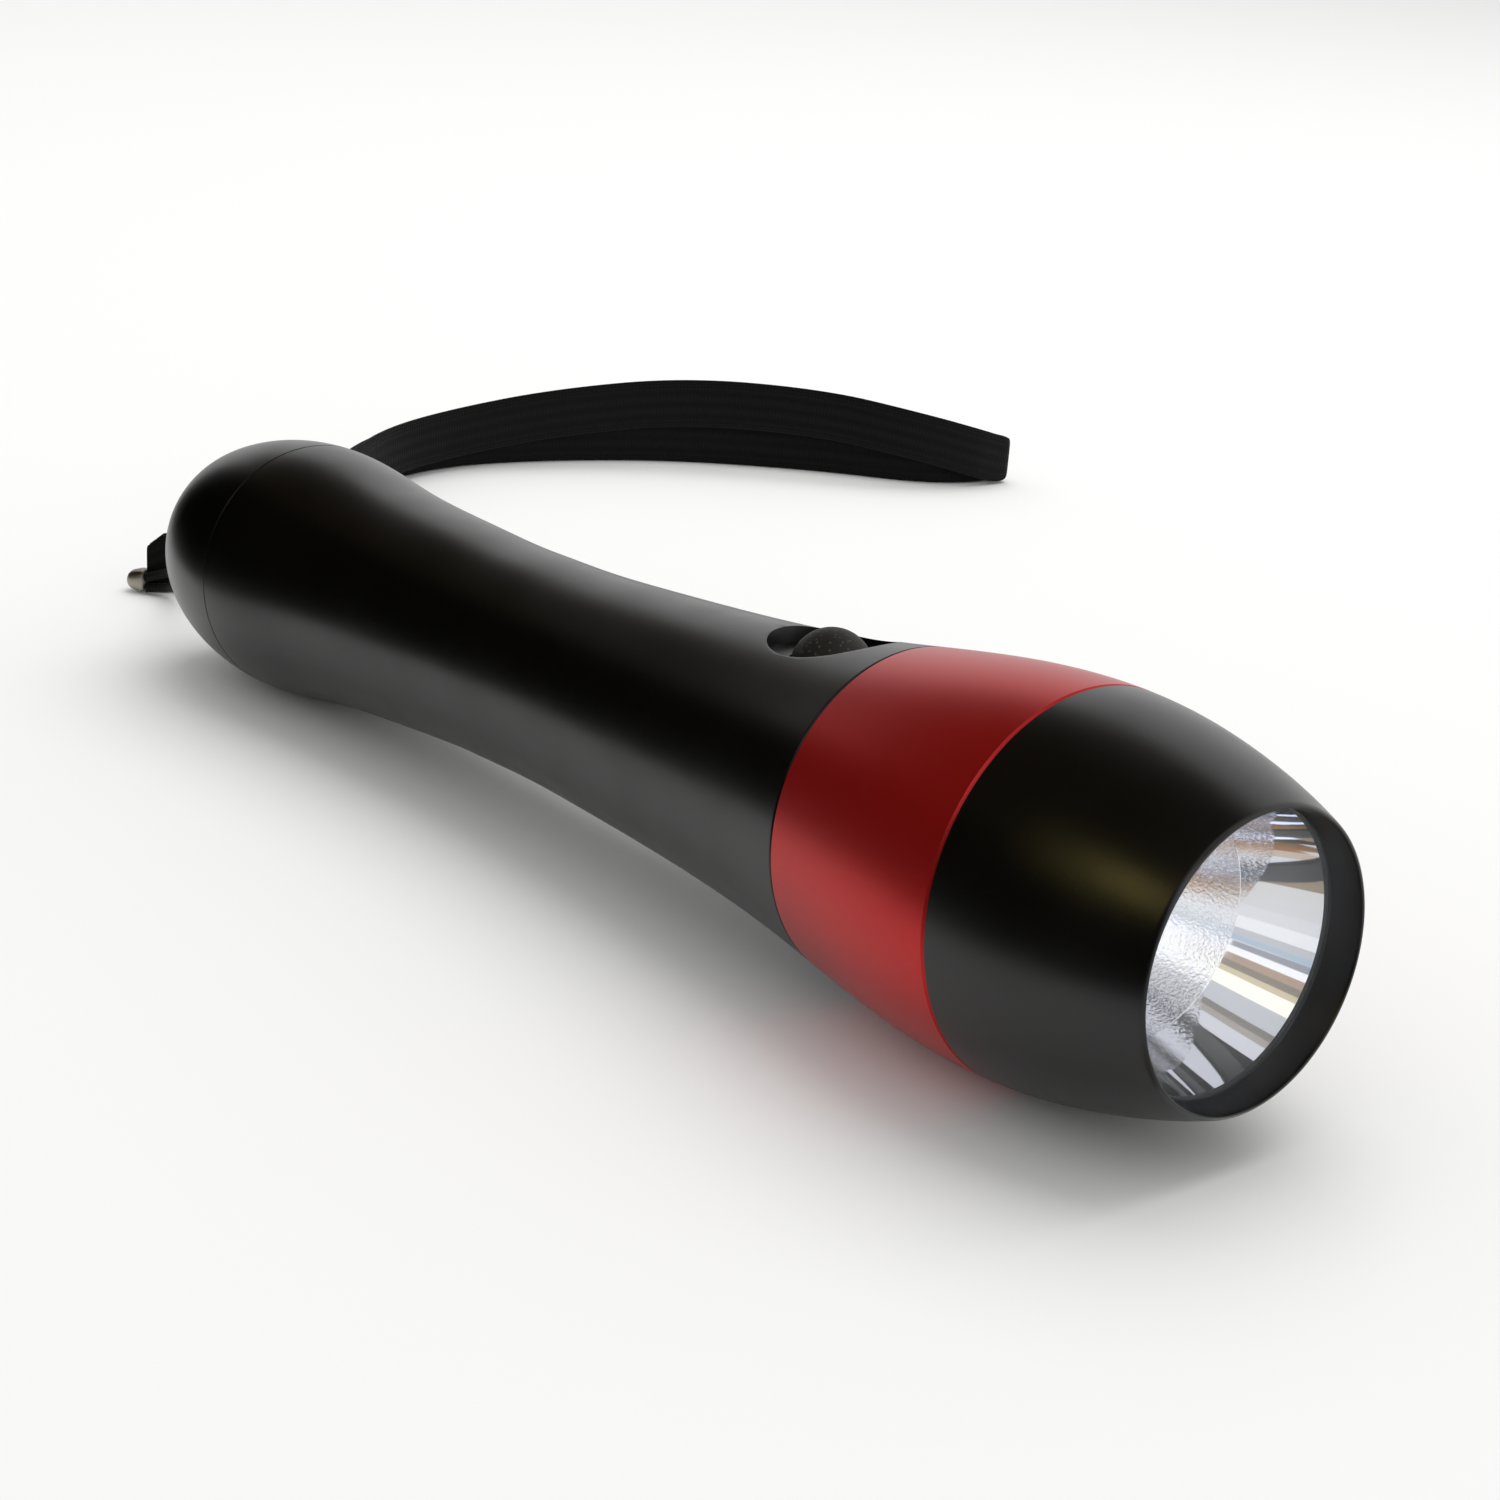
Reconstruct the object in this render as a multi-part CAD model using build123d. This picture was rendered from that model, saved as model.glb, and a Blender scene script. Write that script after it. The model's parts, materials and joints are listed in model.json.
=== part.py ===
from build123d import *
import math
import os

# A battery torch turned from aluminium bar: bulged tail cap, waisted barrel, red ring and bezel.
# Millimetres. Every rigid piece is first made along +X, from the tail tip (x = 0) to the front
# rim, with the push button towards +Z. place() then lays the torch down on its two bulges.

# ---- outer sections, from the tail to the front ----
CAP_LENGTH = 22.0  # tail tip to the seam of the tail cap
BARREL_LENGTH = 114.5  # that seam to the rear seam of the red ring
RING_LENGTH = 25.2
BEZEL_LENGTH = 23.3
SEAM_GAP = 0.2  # dark line between two turned sections
SEAM_CHAMFER = 0.3
TAIL_FLAT_R = 6.2  # small flat on the tail tip
WAIST_STRAIGHT = 8.0  # cylindrical stretch at the narrowest place
WAIST_SHARE = 0.438  # where that stretch lies along the barrel

# ---- the three cells set the bore, and the bore sets the outside ----
CELL_R = 5.25
CELL_LENGTH = 44.5
CELL_NUB_R = 1.9
CELL_NUB_LENGTH = 0.9
CELL_GAP = 0.08  # between neighbouring cells
CARRIER_MARGIN = 0.1  # carrier discs stand proud of the cells
CARRIER_CLEARANCE = 0.25
WAIST_WALL = 1.35
TAIL_SWELL = 3.3  # tail bulge above the waist
HEAD_SWELL = 7.6  # head bulge above the waist
NOSE_TAPER = 5.3  # front rim below the head bulge

# ---- tail cap ----
SPIGOT_LENGTH = 9.0
SPIGOT_STEP = 0.7  # spigot above the battery bore
THREAD_CLEARANCE = 0.1
THREAD_PITCH = 1.0
THREAD_DEPTH = 0.45
CAP_CAVITY_R = 10.2
CAP_FLOOR = 12.0  # solid dome behind the contact
LUG_R = 4.6  # recess in the tail tip for the wrist strap
LUG_DEPTH = 5.6
PIN_R = 0.9
PIN_SETBACK = 2.3
PIN_GRIP = 2.2  # length held in the cap at each end
PIN_FIT = 0.02
SEAL_WIRE_R = 0.8
SEAL_CLEARANCE = 0.06

# ---- contacts and springs ----
CONTACT_THICK = 0.8
CONTACT_MARGIN = 1.0
TAIL_SPRING_WIRE = 0.5
TAIL_SPRING_R = 6.6
TAIL_SPRING_TIP_R = 3.6
TAIL_SPRING_TURNS = 6
FRONT_SPRING_WIRE = 0.35
FRONT_SPRING_R = 2.4
FRONT_SPRING_TURNS = 4
CELL_SPRING_WIRE = 0.3
CELL_SPRING_R = 2.6
CELL_SPRING_TURNS = 3
SPRING_SEAT = 0.05

# ---- cell carrier ----
CARRIER_SETBACK = 1.0  # behind the end of the spigot
DISC_THICK = 3.0
DISC_STEP = 0.6  # recess for the flat contact strips
CELL_SPRING_LENGTH = 2.4
SPINE_R = 0.75
STRIP_THICK = 0.4
PLATE_RING_WIDTH = 1.4
PLATE_MARGIN = 0.2
NUB_R = 2.2
NUB_LENGTH = 1.2

# ---- switch ----
SWITCH_SETBACK = 12.4  # button centre behind the rear seam of the ring
POCKET_HALF_LENGTH = 7.9
POCKET_HALF_WIDTH = 6.25
POCKET_WALL = 1.8  # metal left between pocket floor and bore
POCKET_EDGE = 0.35
BOOT_R = 4.4
BOOT_CAP_HEIGHT = 3.5
BOOT_SHOULDER = 0.15  # straight side above the pocket floor
BOOT_WALL = 1.2
BOOT_HOLE_GAP = 0.3
BOOT_FLANGE_R = 6.4
BOOT_FLANGE_THICK = 1.2
PRESS_TRAVEL = 1.2
KEY_GAP = 0.3  # button core to the rubber
HOUSING_SIDE = 9.0
HOUSING_TOP = 6.1
HOUSING_FLOOR = 1.2
HOUSING_ROOF = 1.0
STEM_R = 1.5
STEM_GAP = 0.1
COLLAR_R = 2.1
COLLAR_THICK = 0.95
SWITCH_SPRING_WIRE = 0.22
SWITCH_SPRING_R = 1.6
SWITCH_SPRING_TURNS = 4
BOARD_THICK = 1.6
BOARD_LENGTH = 22.0
BOARD_GAP = 0.1
FRAME_GAP = 0.15
FRAME_WALL = 2.6
FRAME_END = 3.0
FRAME_REAR_ROOM = 6.0  # room for the front spring, ahead of the carrier's nub
SHELF_DEPTH = 3.0
LEAD_STRIP_WIDTH = 3.0
RIVET_R = 3.0

# ---- head ----
RING_THICKNESS = 4.3  # red ring at its fullest
SLEEVE_CLEARANCE = 0.1
NECK_WALL = 1.7
NECK_REACH = 9.0  # neck ahead of the red ring
NECK_THREAD_LENGTH = 6.0
PILL_SEAT = 1.0  # shoulder ahead of the ring's rear seam
RIM_CHAMFER = 2.8
RIM_LAND = 0.25
MOUTH_R = 14.2
LIP_THICK = 0.8
LENS_OVERLAP = 1.2
LENS_THICK = 1.6
LENS_FIT = 0.1
GASKET_THICK = 0.5
BUTT_GAP = 0.05
REFLECTOR_R = 13.95
REFLECTOR_WALL = 1.2
REFLECTOR_FLANGE = 1.15
FOCAL_LENGTH = 2.0
RIDGE_R = 12.0  # smooth outer zone ends here
RIDGE_STEP = 0.12
LED_HOLE_R = 3.6

# ---- light engine ----
PACKAGE_SIDE = 3.4
PACKAGE_THICK = 0.8
PACKAGE_BELOW_FOCUS = 0.3
LED_DOME_R = 1.6
PHOSPHOR_SIDE = 1.5
PHOSPHOR_THICK = 0.1
STAR_R = 9.0
STAR_THICK = 1.6
CENTRING_BORE_R = 2.9
CENTRING_R = 5.9
PILL_FIT = 0.06
DRIVER_R = 12.2
DRIVER_THICK = 1.6
DRIVER_RECESS = 1.5
PILL_CAVITY_DEPTH = 9.0
PILL_LEDGE = 1.5
LEAD_R = 0.45
LEAD_CIRCLE = 7.2
LEAD_HOLE_GAP = 0.35
CONTACT_POST_R = 2.5

# ---- wrist strap, lying as it falls: x from the tail tip, y, height above the table ----
STRAP_WIDTH = 8.4
STRAP_THICK = 1.3
CORD_R = 0.65
CORD_PIN_GAP = 0.1
CRIMP_LENGTH = 3.2
CRIMP_WIDTH = 4.4
CRIMP_HEIGHT = 3.4
CRIMP_CENTRE = (-26.44, 0.86)
CRIMP_HEADING = 48.9
STRAP_ROUTE = [
    (-26.48, 3.09, 4.25),
    (-24.18, 5.73, 4.25),
    (-24.8, 12.2, 4.25),
    (-28.9, 21.0, 4.25),
    (-38.9, 34.5, 4.25),
    (-50.9, 49.5, 4.25),
    (-63.9, 66.0, 4.25),
    (-68.4, 84.0, 4.25),
    (-64.4, 103.5, 4.25),
    (-55.0, 124.5, 4.25),
    (-38.9, 143.4, 4.25),
    (-25.6, 154.0, 4.25),
    (-21.6, 162.0, 4.25),
    (-21.1, 166.6, 4.25),
    (-21.0, 169.8, 4.25),
    (-18.5, 169.8, 4.25),
    (-18.6, 166.6, 4.6),
    (-19.1, 161.0, 6.4),
    (-23.8, 151.8, 9.0),
    (-36.6, 141.0, 11.2),
    (-52.8, 123.2, 11.4),
    (-62.2, 102.7, 9.1),
    (-66.4, 84.2, 6.4),
    (-62.0, 67.0, 5.6),
    (-48.2, 50.5, 6.0),
    (-35.0, 36.0, 6.0),
    (-25.6, 21.5, 5.4),
    (-22.4, 12.0, 4.7),
    (-23.13, 4.81, 4.3),
    (-25.43, 2.17, 4.25),
]
CORD_OUT = [
    (-24.2, 1.22, 2.55),
    (-22.28, 3.42, 3.3),
    (-17.5, 2.9, 5.6),
    (-10.2, 1.2, 11.0),
    (-4.4, 0.2, 15.6),
]
CORD_BACK = [
    (-4.2, -0.1, 12.2),
    (-10.0, 0.9, 8.0),
    (-17.3, 2.5, 2.9),
    (-22.28, 3.42, 1.2),
    (-24.2, 1.22, 0.95),
]

# ---- worked out from the values above ----
PACK_R = CELL_R + (CELL_R + CELL_GAP / 2) * 2 / math.sqrt(3)
CARRIER_R = PACK_R + CARRIER_MARGIN
BORE_R = CARRIER_R + CARRIER_CLEARANCE
WAIST_R = BORE_R + WAIST_WALL
TAIL_R = WAIST_R + TAIL_SWELL
HEAD_R = WAIST_R + HEAD_SWELL
RIM_R = HEAD_R - NOSE_TAPER
CAP_SEAM_X = CAP_LENGTH
RING_REAR_X = CAP_SEAM_X + BARREL_LENGTH
RING_FRONT_X = RING_REAR_X + RING_LENGTH
LENGTH = RING_FRONT_X + BEZEL_LENGTH
SPIGOT_R = BORE_R + SPIGOT_STEP
SPIGOT_END_X = CAP_SEAM_X + SPIGOT_LENGTH
CARRIER_REAR_X = SPIGOT_END_X + CARRIER_SETBACK
CELL_REAR_X = CARRIER_REAR_X + DISC_THICK + CELL_SPRING_LENGTH
CARRIER_FRONT_X = CELL_REAR_X + CELL_LENGTH + CELL_NUB_LENGTH + DISC_THICK
FRAME_REAR_X = CARRIER_FRONT_X + NUB_LENGTH + FRAME_REAR_ROOM
SWITCH_X = RING_REAR_X - SWITCH_SETBACK
POCKET_FLOOR_Z = BORE_R + POCKET_WALL
BOOT_TOP_Z = POCKET_FLOOR_Z + BOOT_SHOULDER + BOOT_CAP_HEIGHT
BOOT_SPHERE_R = (BOOT_R**2 + BOOT_CAP_HEIGHT**2) / (2 * BOOT_CAP_HEIGHT)
FLANGE_OUT_R = BORE_R - BOARD_GAP
FLANGE_IN_R = FLANGE_OUT_R - BOOT_FLANGE_THICK
FRAME_R = BORE_R - FRAME_GAP
FRAME_INNER_R = FRAME_R - FRAME_WALL
NECK_R = HEAD_R - RING_THICKNESS
NECK_BORE_R = NECK_R - NECK_WALL
NECK_END_X = RING_FRONT_X + NECK_REACH
PILL_REAR_X = RING_REAR_X + PILL_SEAT
MOUTH_X = LENGTH - RIM_CHAMFER
LIP_X = MOUTH_X - LIP_THICK
LENS_R = MOUTH_R + LENS_OVERLAP
LENS_FRONT_X = LIP_X - GASKET_THICK
LENS_REAR_X = LENS_FRONT_X - LENS_THICK
REFLECTOR_FRONT_X = LENS_REAR_X - BUTT_GAP
VERTEX_X = REFLECTOR_FRONT_X - REFLECTOR_R**2 / (4 * FOCAL_LENGTH)
FOCUS_X = VERTEX_X + FOCAL_LENGTH
HOLE_X = VERTEX_X + LED_HOLE_R**2 / (4 * FOCAL_LENGTH)
PACKAGE_TOP_X = FOCUS_X - PACKAGE_BELOW_FOCUS
STAR_TOP_X = PACKAGE_TOP_X - PACKAGE_THICK
PILL_FRONT_X = STAR_TOP_X - STAR_THICK
DRIVER_REAR_X = PILL_REAR_X + DRIVER_RECESS


def turned(*points):
    """A solid of revolution about X from its (x, r) corners."""
    return revolve(make_face(Polyline(*points, close=True)), Axis.X)


def rod(x0, x1, r):
    return turned((x0, 0), (x1, 0), (x1, r), (x0, r))


def tube(x0, x1, r_in, r_out):
    return turned((x0, r_in), (x1, r_in), (x1, r_out), (x0, r_out))


def torus_ring(x, r, wire_r):
    """An O-ring about X."""
    return revolve(Pos(x, r, 0) * Circle(wire_r), Axis.X)


def outline_face():
    """Half section of the whole turned outside, as one smooth line from the tail to the rim."""
    waist_x = CAP_SEAM_X + WAIST_SHARE * BARREL_LENGTH
    waist_rear = waist_x - WAIST_STRAIGHT / 2
    waist_front = waist_x + WAIST_STRAIGHT / 2
    rear_run = waist_rear - CAP_SEAM_X
    front_run = RING_REAR_X - waist_front
    tail = Spline(
        (0, TAIL_FLAT_R),
        (0.17 * CAP_LENGTH, 0.70 * TAIL_R),
        (0.42 * CAP_LENGTH, 0.868 * TAIL_R),
        (CAP_SEAM_X, TAIL_R),
        (CAP_SEAM_X + 0.325 * rear_run, WAIST_R + 0.545 * TAIL_SWELL),
        (CAP_SEAM_X + 0.725 * rear_run, WAIST_R + 0.145 * TAIL_SWELL),
        (waist_rear, WAIST_R),
        tangents=((0, 1), (1, 0)),
        tangent_scalars=(1, 1),
    )
    waist = Line((waist_rear, WAIST_R), (waist_front, WAIST_R))
    head = Spline(
        (waist_front, WAIST_R),
        (waist_front + 0.27 * front_run, WAIST_R + 0.081 * HEAD_SWELL),
        (waist_front + 0.575 * front_run, WAIST_R + 0.242 * HEAD_SWELL),
        (RING_REAR_X - 0.115 * front_run, WAIST_R + 0.520 * HEAD_SWELL),
        (RING_REAR_X + 0.456 * RING_LENGTH, WAIST_R + 0.903 * HEAD_SWELL),
        (RING_REAR_X + 0.861 * RING_LENGTH, HEAD_R),
        (RING_FRONT_X + 0.206 * BEZEL_LENGTH, HEAD_R - 0.077 * NOSE_TAPER),
        (RING_FRONT_X + 0.605 * BEZEL_LENGTH, HEAD_R - 0.414 * NOSE_TAPER),
        (LENGTH, RIM_R),
        tangents=((1, 0), (1, -0.42)),
        tangent_scalars=(1, 1),
    )
    front = Line((LENGTH, RIM_R), (LENGTH, 0))
    axis = Line((LENGTH, 0), (0, 0))
    rear = Line((0, 0), (0, TAIL_FLAT_R))
    return make_face([tail, waist, head, front, axis, rear])


OUTSIDE = revolve(outline_face(), Axis.X)
REACH_R = HEAD_R + 5.0  # past every surface


def section(x0, x1):
    """The turned outside between two seams."""
    return OUTSIDE & rod(x0, x1, REACH_R)


def seam_cut(x, reach, facing):
    """Chamfer on the outer edge of a section that ends at x; facing is its outward side."""
    cutter = rod(x - reach, x + reach, REACH_R)
    rounded = OUTSIDE & cutter
    inner = offset(rounded, -SEAM_CHAMFER)
    return Pos(facing * reach, 0, 0) * (rounded - inner)


def thread_grooves(x0, x1, r):
    """Ring grooves that stand for a male thread, one a pitch."""
    count = int((x1 - x0) / THREAD_PITCH)
    half = THREAD_PITCH * 0.42
    cuts = []
    for i in range(count):
        x = x0 + (i + 0.5) * THREAD_PITCH
        cuts.append(turned((x - half, r + 0.01), (x + half, r + 0.01), (x, r - THREAD_DEPTH)))
    return cuts


def coil(x0, x1, r0, r1, turns, wire):
    """An open coil spring about X, whose radius goes from r0 to r1."""
    steps = turns * 8
    ends = (x0 + wire / 2, x1 - wire / 2)
    points = []
    for i in range(steps + 1):
        t = i / steps
        angle = 2 * math.pi * turns * t
        r = r0 + (r1 - r0) * t
        x = ends[0] + (ends[1] - ends[0]) * t
        points.append(Vector(x, r * math.cos(angle), r * math.sin(angle)))
    arcs = [ThreePointArc(points[i], points[i + 1], points[i + 2]) for i in range(0, steps, 2)]
    path = Wire(arcs)
    start = Plane(origin=path @ 0, z_dir=path % 0)
    return sweep(start * Circle(wire / 2), path=path)


# ---- tail cap body ----
def tail_cap():
    groove_x = SPIGOT_END_X - 2.2
    body = section(0, CAP_SEAM_X - SEAM_GAP / 2)
    body += rod(CAP_SEAM_X - SEAM_GAP, SPIGOT_END_X, SPIGOT_R)
    body -= rod(CAP_FLOOR, SPIGOT_END_X + 1, CAP_CAVITY_R)
    body -= rod(-1, LUG_DEPTH, LUG_R)
    body -= Pos(PIN_SETBACK, 0, 0) * Rot(90, 0, 0) * Cylinder(PIN_R + PIN_FIT, pin_length() + 0.1)
    body -= tube(groove_x - 1.0, groove_x + 1.0, seal_ring_r() - SEAL_WIRE_R - SEAL_CLEARANCE, REACH_R)
    body -= thread_grooves(CAP_SEAM_X + 0.8, groove_x - 1.4, SPIGOT_R)
    return body


def pin_length():
    return 2 * (LUG_R + PIN_GRIP)


def seal_ring_r():
    """Centre circle of the tail O-ring, which just clears the threaded bore."""
    return SPIGOT_R + THREAD_CLEARANCE - SEAL_CLEARANCE - SEAL_WIRE_R


def tail_o_ring():
    return torus_ring(SPIGOT_END_X - 2.2, seal_ring_r(), SEAL_WIRE_R)


def strap_pin():
    return Pos(PIN_SETBACK, 0, 0) * Rot(90, 0, 0) * Cylinder(PIN_R, pin_length())


def tail_contact():
    r = CAP_CAVITY_R - CONTACT_MARGIN
    boss_r = TAIL_SPRING_R - TAIL_SPRING_WIRE - 0.3
    plate = rod(CAP_FLOOR, CAP_FLOOR + CONTACT_THICK, r)
    return plate + rod(CAP_FLOOR, CAP_FLOOR + 2.5 * CONTACT_THICK, boss_r)


def tail_spring():
    x0 = CAP_FLOOR + CONTACT_THICK + SPRING_SEAT
    x1 = CARRIER_REAR_X - STRIP_THICK - SPRING_SEAT
    return coil(x0, x1, TAIL_SPRING_R, TAIL_SPRING_TIP_R, TAIL_SPRING_TURNS, TAIL_SPRING_WIRE)


# ---- barrel and what is fixed in it ----
def pocket_and_hole():
    """Oval pocket round the button, and the hole for its rubber boot."""
    depth = REACH_R
    oval = extrude(Ellipse(POCKET_HALF_LENGTH, POCKET_HALF_WIDTH), depth)
    hole = Cylinder(BOOT_R + BOOT_HOLE_GAP, depth, align=(Align.CENTER, Align.CENTER, Align.MIN))
    return Pos(SWITCH_X, 0, POCKET_FLOOR_Z) * oval + Pos(SWITCH_X, 0, 0) * hole


def barrel():
    groove_x = CAP_SEAM_X + SEAM_GAP / 2
    body = section(groove_x, RING_REAR_X)
    body += rod(RING_REAR_X - 1, NECK_END_X, NECK_R)
    body -= rod(groove_x - 1, PILL_REAR_X + 1, BORE_R)
    body -= rod(PILL_REAR_X, NECK_END_X + 1, NECK_BORE_R)
    body -= rod(groove_x - 1, SPIGOT_END_X + 0.5, SPIGOT_R + THREAD_CLEARANCE)
    body -= pocket_and_hole()
    thread_x = NECK_END_X - 0.6
    body -= thread_grooves(thread_x - NECK_THREAD_LENGTH, thread_x, NECK_R)
    return body


def accent_ring():
    body = section(RING_REAR_X + SEAM_GAP, RING_FRONT_X - SEAM_GAP / 2)
    return body - rod(RING_REAR_X - 1, RING_FRONT_X + 1, NECK_R + SLEEVE_CLEARANCE)


# ---- bezel body ----
def bezel_seal_ring_r():
    return NECK_R + SEAL_CLEARANCE + SEAL_WIRE_R


def bezel():
    rear = RING_FRONT_X + SEAM_GAP / 2
    bore_r = LENS_R + LENS_FIT
    thread_r = NECK_R + THREAD_CLEARANCE
    body = section(rear, LENGTH)
    body -= turned(
        (rear - 1, 0),
        (rear - 1, thread_r),
        (NECK_END_X + 0.5, thread_r),
        (NECK_END_X + 0.5, bore_r),
        (LIP_X, bore_r),
        (LIP_X, MOUTH_R),
        (MOUTH_X, MOUTH_R),
        (LENGTH, RIM_R - RIM_LAND),
        (LENGTH + 1, RIM_R - RIM_LAND),
        (LENGTH + 1, 0),
    )
    seal_x = rear + 1.6
    groove_r = bezel_seal_ring_r() + SEAL_WIRE_R + SEAL_CLEARANCE
    return body - tube(seal_x - 1.0, seal_x + 1.0, NECK_R, groove_r)


def bezel_o_ring():
    return torus_ring(RING_FRONT_X + SEAM_GAP / 2 + 1.6, bezel_seal_ring_r(), SEAL_WIRE_R)


def lens():
    return rod(LENS_REAR_X, LENS_FRONT_X, LENS_R)


def lens_gasket():
    return tube(LENS_FRONT_X, LIP_X, MOUTH_R + 0.1, LENS_R)


# ---- light engine ----
def paraboloid_x(r):
    return VERTEX_X + r**2 / (4 * FOCAL_LENGTH)


def reflector():
    """Parabolic cup: a smooth outer zone and an inner zone set back by one small step."""
    ridge_x = paraboloid_x(RIDGE_R)
    outer_rs = [RIDGE_R + i * (REFLECTOR_R - RIDGE_R) / 3 for i in range(4)]
    inner_rs = [LED_HOLE_R + i * (RIDGE_R - LED_HOLE_R) / 6 for i in range(7)]
    inner = Spline(*[(paraboloid_x(r), r - RIDGE_STEP) for r in inner_rs])
    step = Line((ridge_x, RIDGE_R - RIDGE_STEP), (ridge_x, RIDGE_R))
    outer = Spline(*[(paraboloid_x(r), r) for r in outer_rs])
    back_rs = [LED_HOLE_R, 6.0, 8.5, 11.0, REFLECTOR_R - 1.0]
    back_points = [(paraboloid_x(r), r + REFLECTOR_WALL) for r in back_rs]
    flange_x = REFLECTOR_FRONT_X - REFLECTOR_FLANGE
    back_points[-1] = (flange_x, back_points[-1][1])
    back = Spline(*reversed(back_points))
    rim = Polyline(
        (REFLECTOR_FRONT_X, REFLECTOR_R),
        (REFLECTOR_FRONT_X, LENS_R),
        (flange_x, LENS_R),
        back_points[-1],
    )
    foot = Line(back_points[0], (HOLE_X, LED_HOLE_R - RIDGE_STEP))
    return revolve(make_face([inner, step, outer, rim, back, foot]), Axis.X)


def square_rod(x0, x1, side):
    return Pos((x0 + x1) / 2, 0, 0) * Box(x1 - x0, side, side)


def led_package():
    body = square_rod(STAR_TOP_X, PACKAGE_TOP_X, PACKAGE_SIDE)
    return body - square_rod(PACKAGE_TOP_X - PHOSPHOR_THICK, PACKAGE_TOP_X + 1, PHOSPHOR_SIDE)


def led_phosphor():
    return square_rod(PACKAGE_TOP_X - PHOSPHOR_THICK, PACKAGE_TOP_X, PHOSPHOR_SIDE)


def led_dome():
    ball = Pos(PACKAGE_TOP_X, 0, 0) * Sphere(LED_DOME_R)
    return ball & rod(PACKAGE_TOP_X, PACKAGE_TOP_X + 2 * LED_DOME_R, 2 * LED_DOME_R)


def lead_places():
    return [(-LEAD_CIRCLE, 0), (LEAD_CIRCLE, 0)]


def led_star():
    """Round aluminium board under the emitter, with two scalloped lead holes."""
    body = rod(PILL_FRONT_X, STAR_TOP_X, STAR_R)
    for y, z in lead_places():
        body -= Pos(0, y, z) * rod(PILL_FRONT_X - 1, STAR_TOP_X + 1, LEAD_R + LEAD_HOLE_GAP)
    return body


def centring_ring():
    return tube(STAR_TOP_X, HOLE_X - BUTT_GAP, CENTRING_BORE_R, CENTRING_R)


def led_pill():
    """Heat sink cup: driver in its rear cavity, LED board on its front face."""
    r = NECK_BORE_R - PILL_FIT
    ledge_x = DRIVER_REAR_X + DRIVER_THICK
    body = rod(PILL_REAR_X, PILL_FRONT_X, r)
    body -= rod(PILL_REAR_X - 1, ledge_x, DRIVER_R + PILL_FIT)
    body -= rod(PILL_REAR_X - 1, PILL_REAR_X + PILL_CAVITY_DEPTH, DRIVER_R - PILL_LEDGE)
    for y, z in lead_places():
        body -= Pos(0, y, z) * rod(PILL_REAR_X, PILL_FRONT_X + 1, LEAD_R + LEAD_HOLE_GAP)
    return body


def driver_board():
    x1 = DRIVER_REAR_X + DRIVER_THICK
    return rod(DRIVER_REAR_X, x1, DRIVER_R)


def driver_parts():
    """Choke, controller and two capacitors on the front face of the driver board."""
    x = DRIVER_REAR_X + DRIVER_THICK
    choke = Pos(0, 0, 4.0) * (rod(x, x + 3.0, 3.0) - rod(x + 2.2, x + 4, 1.4))
    chip = Pos(x + 0.75, -2.5, -3.5) * Box(1.5, 4.0, 5.0)
    caps = [Pos(x + 0.6, 3.8, z) * Box(1.2, 1.6, 2.4) for z in (-5.0, -1.6)]
    return Compound(children=[choke, chip, *caps])


def driver_contact():
    """Brass post on the rear face of the driver board, meeting the switch's front strip."""
    return rod(PILL_REAR_X + SPRING_SEAT, DRIVER_REAR_X, CONTACT_POST_R)


def led_leads():
    x0 = DRIVER_REAR_X + DRIVER_THICK
    return Compound(children=[Pos(0, y, z) * rod(x0, STAR_TOP_X + 0.4, LEAD_R) for y, z in lead_places()])


# ---- cell carrier body ----
def cell_places():
    """Cell axes on a triangle, one cell straight down."""
    radius = (CELL_R + CELL_GAP / 2) * 2 / math.sqrt(3)
    angles = [-90, 30, 150]
    return [(radius * math.cos(math.radians(a)), radius * math.sin(math.radians(a))) for a in angles]


def battery(index):
    y, z = cell_places()[index]
    can = fillet(rod(CELL_REAR_X, CELL_REAR_X + CELL_LENGTH, CELL_R).edges(), 0.6)
    nub_x = CELL_REAR_X + CELL_LENGTH
    return Pos(0, y, z) * (can + rod(nub_x - 0.5, nub_x + CELL_NUB_LENGTH, CELL_NUB_R))


def trefoil(x0, x1, margin):
    """Three seats joined by a ring: a contact plate, or with a margin the recess it lies in."""
    mid_r = math.hypot(*cell_places()[0])
    body = tube(x0, x1, mid_r - PLATE_RING_WIDTH / 2 - margin, mid_r + PLATE_RING_WIDTH / 2 + margin)
    for y, z in cell_places():
        body += Pos(0, y, z) * rod(x0, x1, CELL_SPRING_R + margin)
    return body


def carrier_rear_disc():
    x1 = CARRIER_REAR_X + DISC_THICK
    body = rod(CARRIER_REAR_X, x1, CARRIER_R)
    return body - trefoil(x1 - DISC_STEP, x1 + 1, PLATE_MARGIN)


def carrier_front_disc():
    x0 = CARRIER_FRONT_X - DISC_THICK
    body = rod(x0, CARRIER_FRONT_X, CARRIER_R)
    return body - trefoil(x0 - 1, x0 + DISC_STEP, PLATE_MARGIN)


def carrier_spine():
    """Slim post between the three cells and three outer ribs that join the end discs."""
    x0 = CARRIER_REAR_X + DISC_THICK
    x1 = CARRIER_FRONT_X - DISC_THICK
    rib_r = CARRIER_R - 1.6
    posts = [rod(x0, x1, SPINE_R)]
    for y, z in cell_places():
        a = math.atan2(z, y) + math.pi / 3
        posts.append(Pos(0, rib_r * math.cos(a), rib_r * math.sin(a)) * rod(x0, x1, 1.3))
    return Compound(children=posts)


def cell_plate_rear():
    """Contact plate under the three cell springs."""
    x0 = CARRIER_REAR_X + DISC_THICK - DISC_STEP
    return trefoil(x0, x0 + STRIP_THICK, 0)


def cell_plate_front():
    """Contact plate that the three cell nubs press on."""
    x1 = CARRIER_FRONT_X - DISC_THICK + DISC_STEP
    return trefoil(x1 - DISC_STEP, x1, 0)


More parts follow.
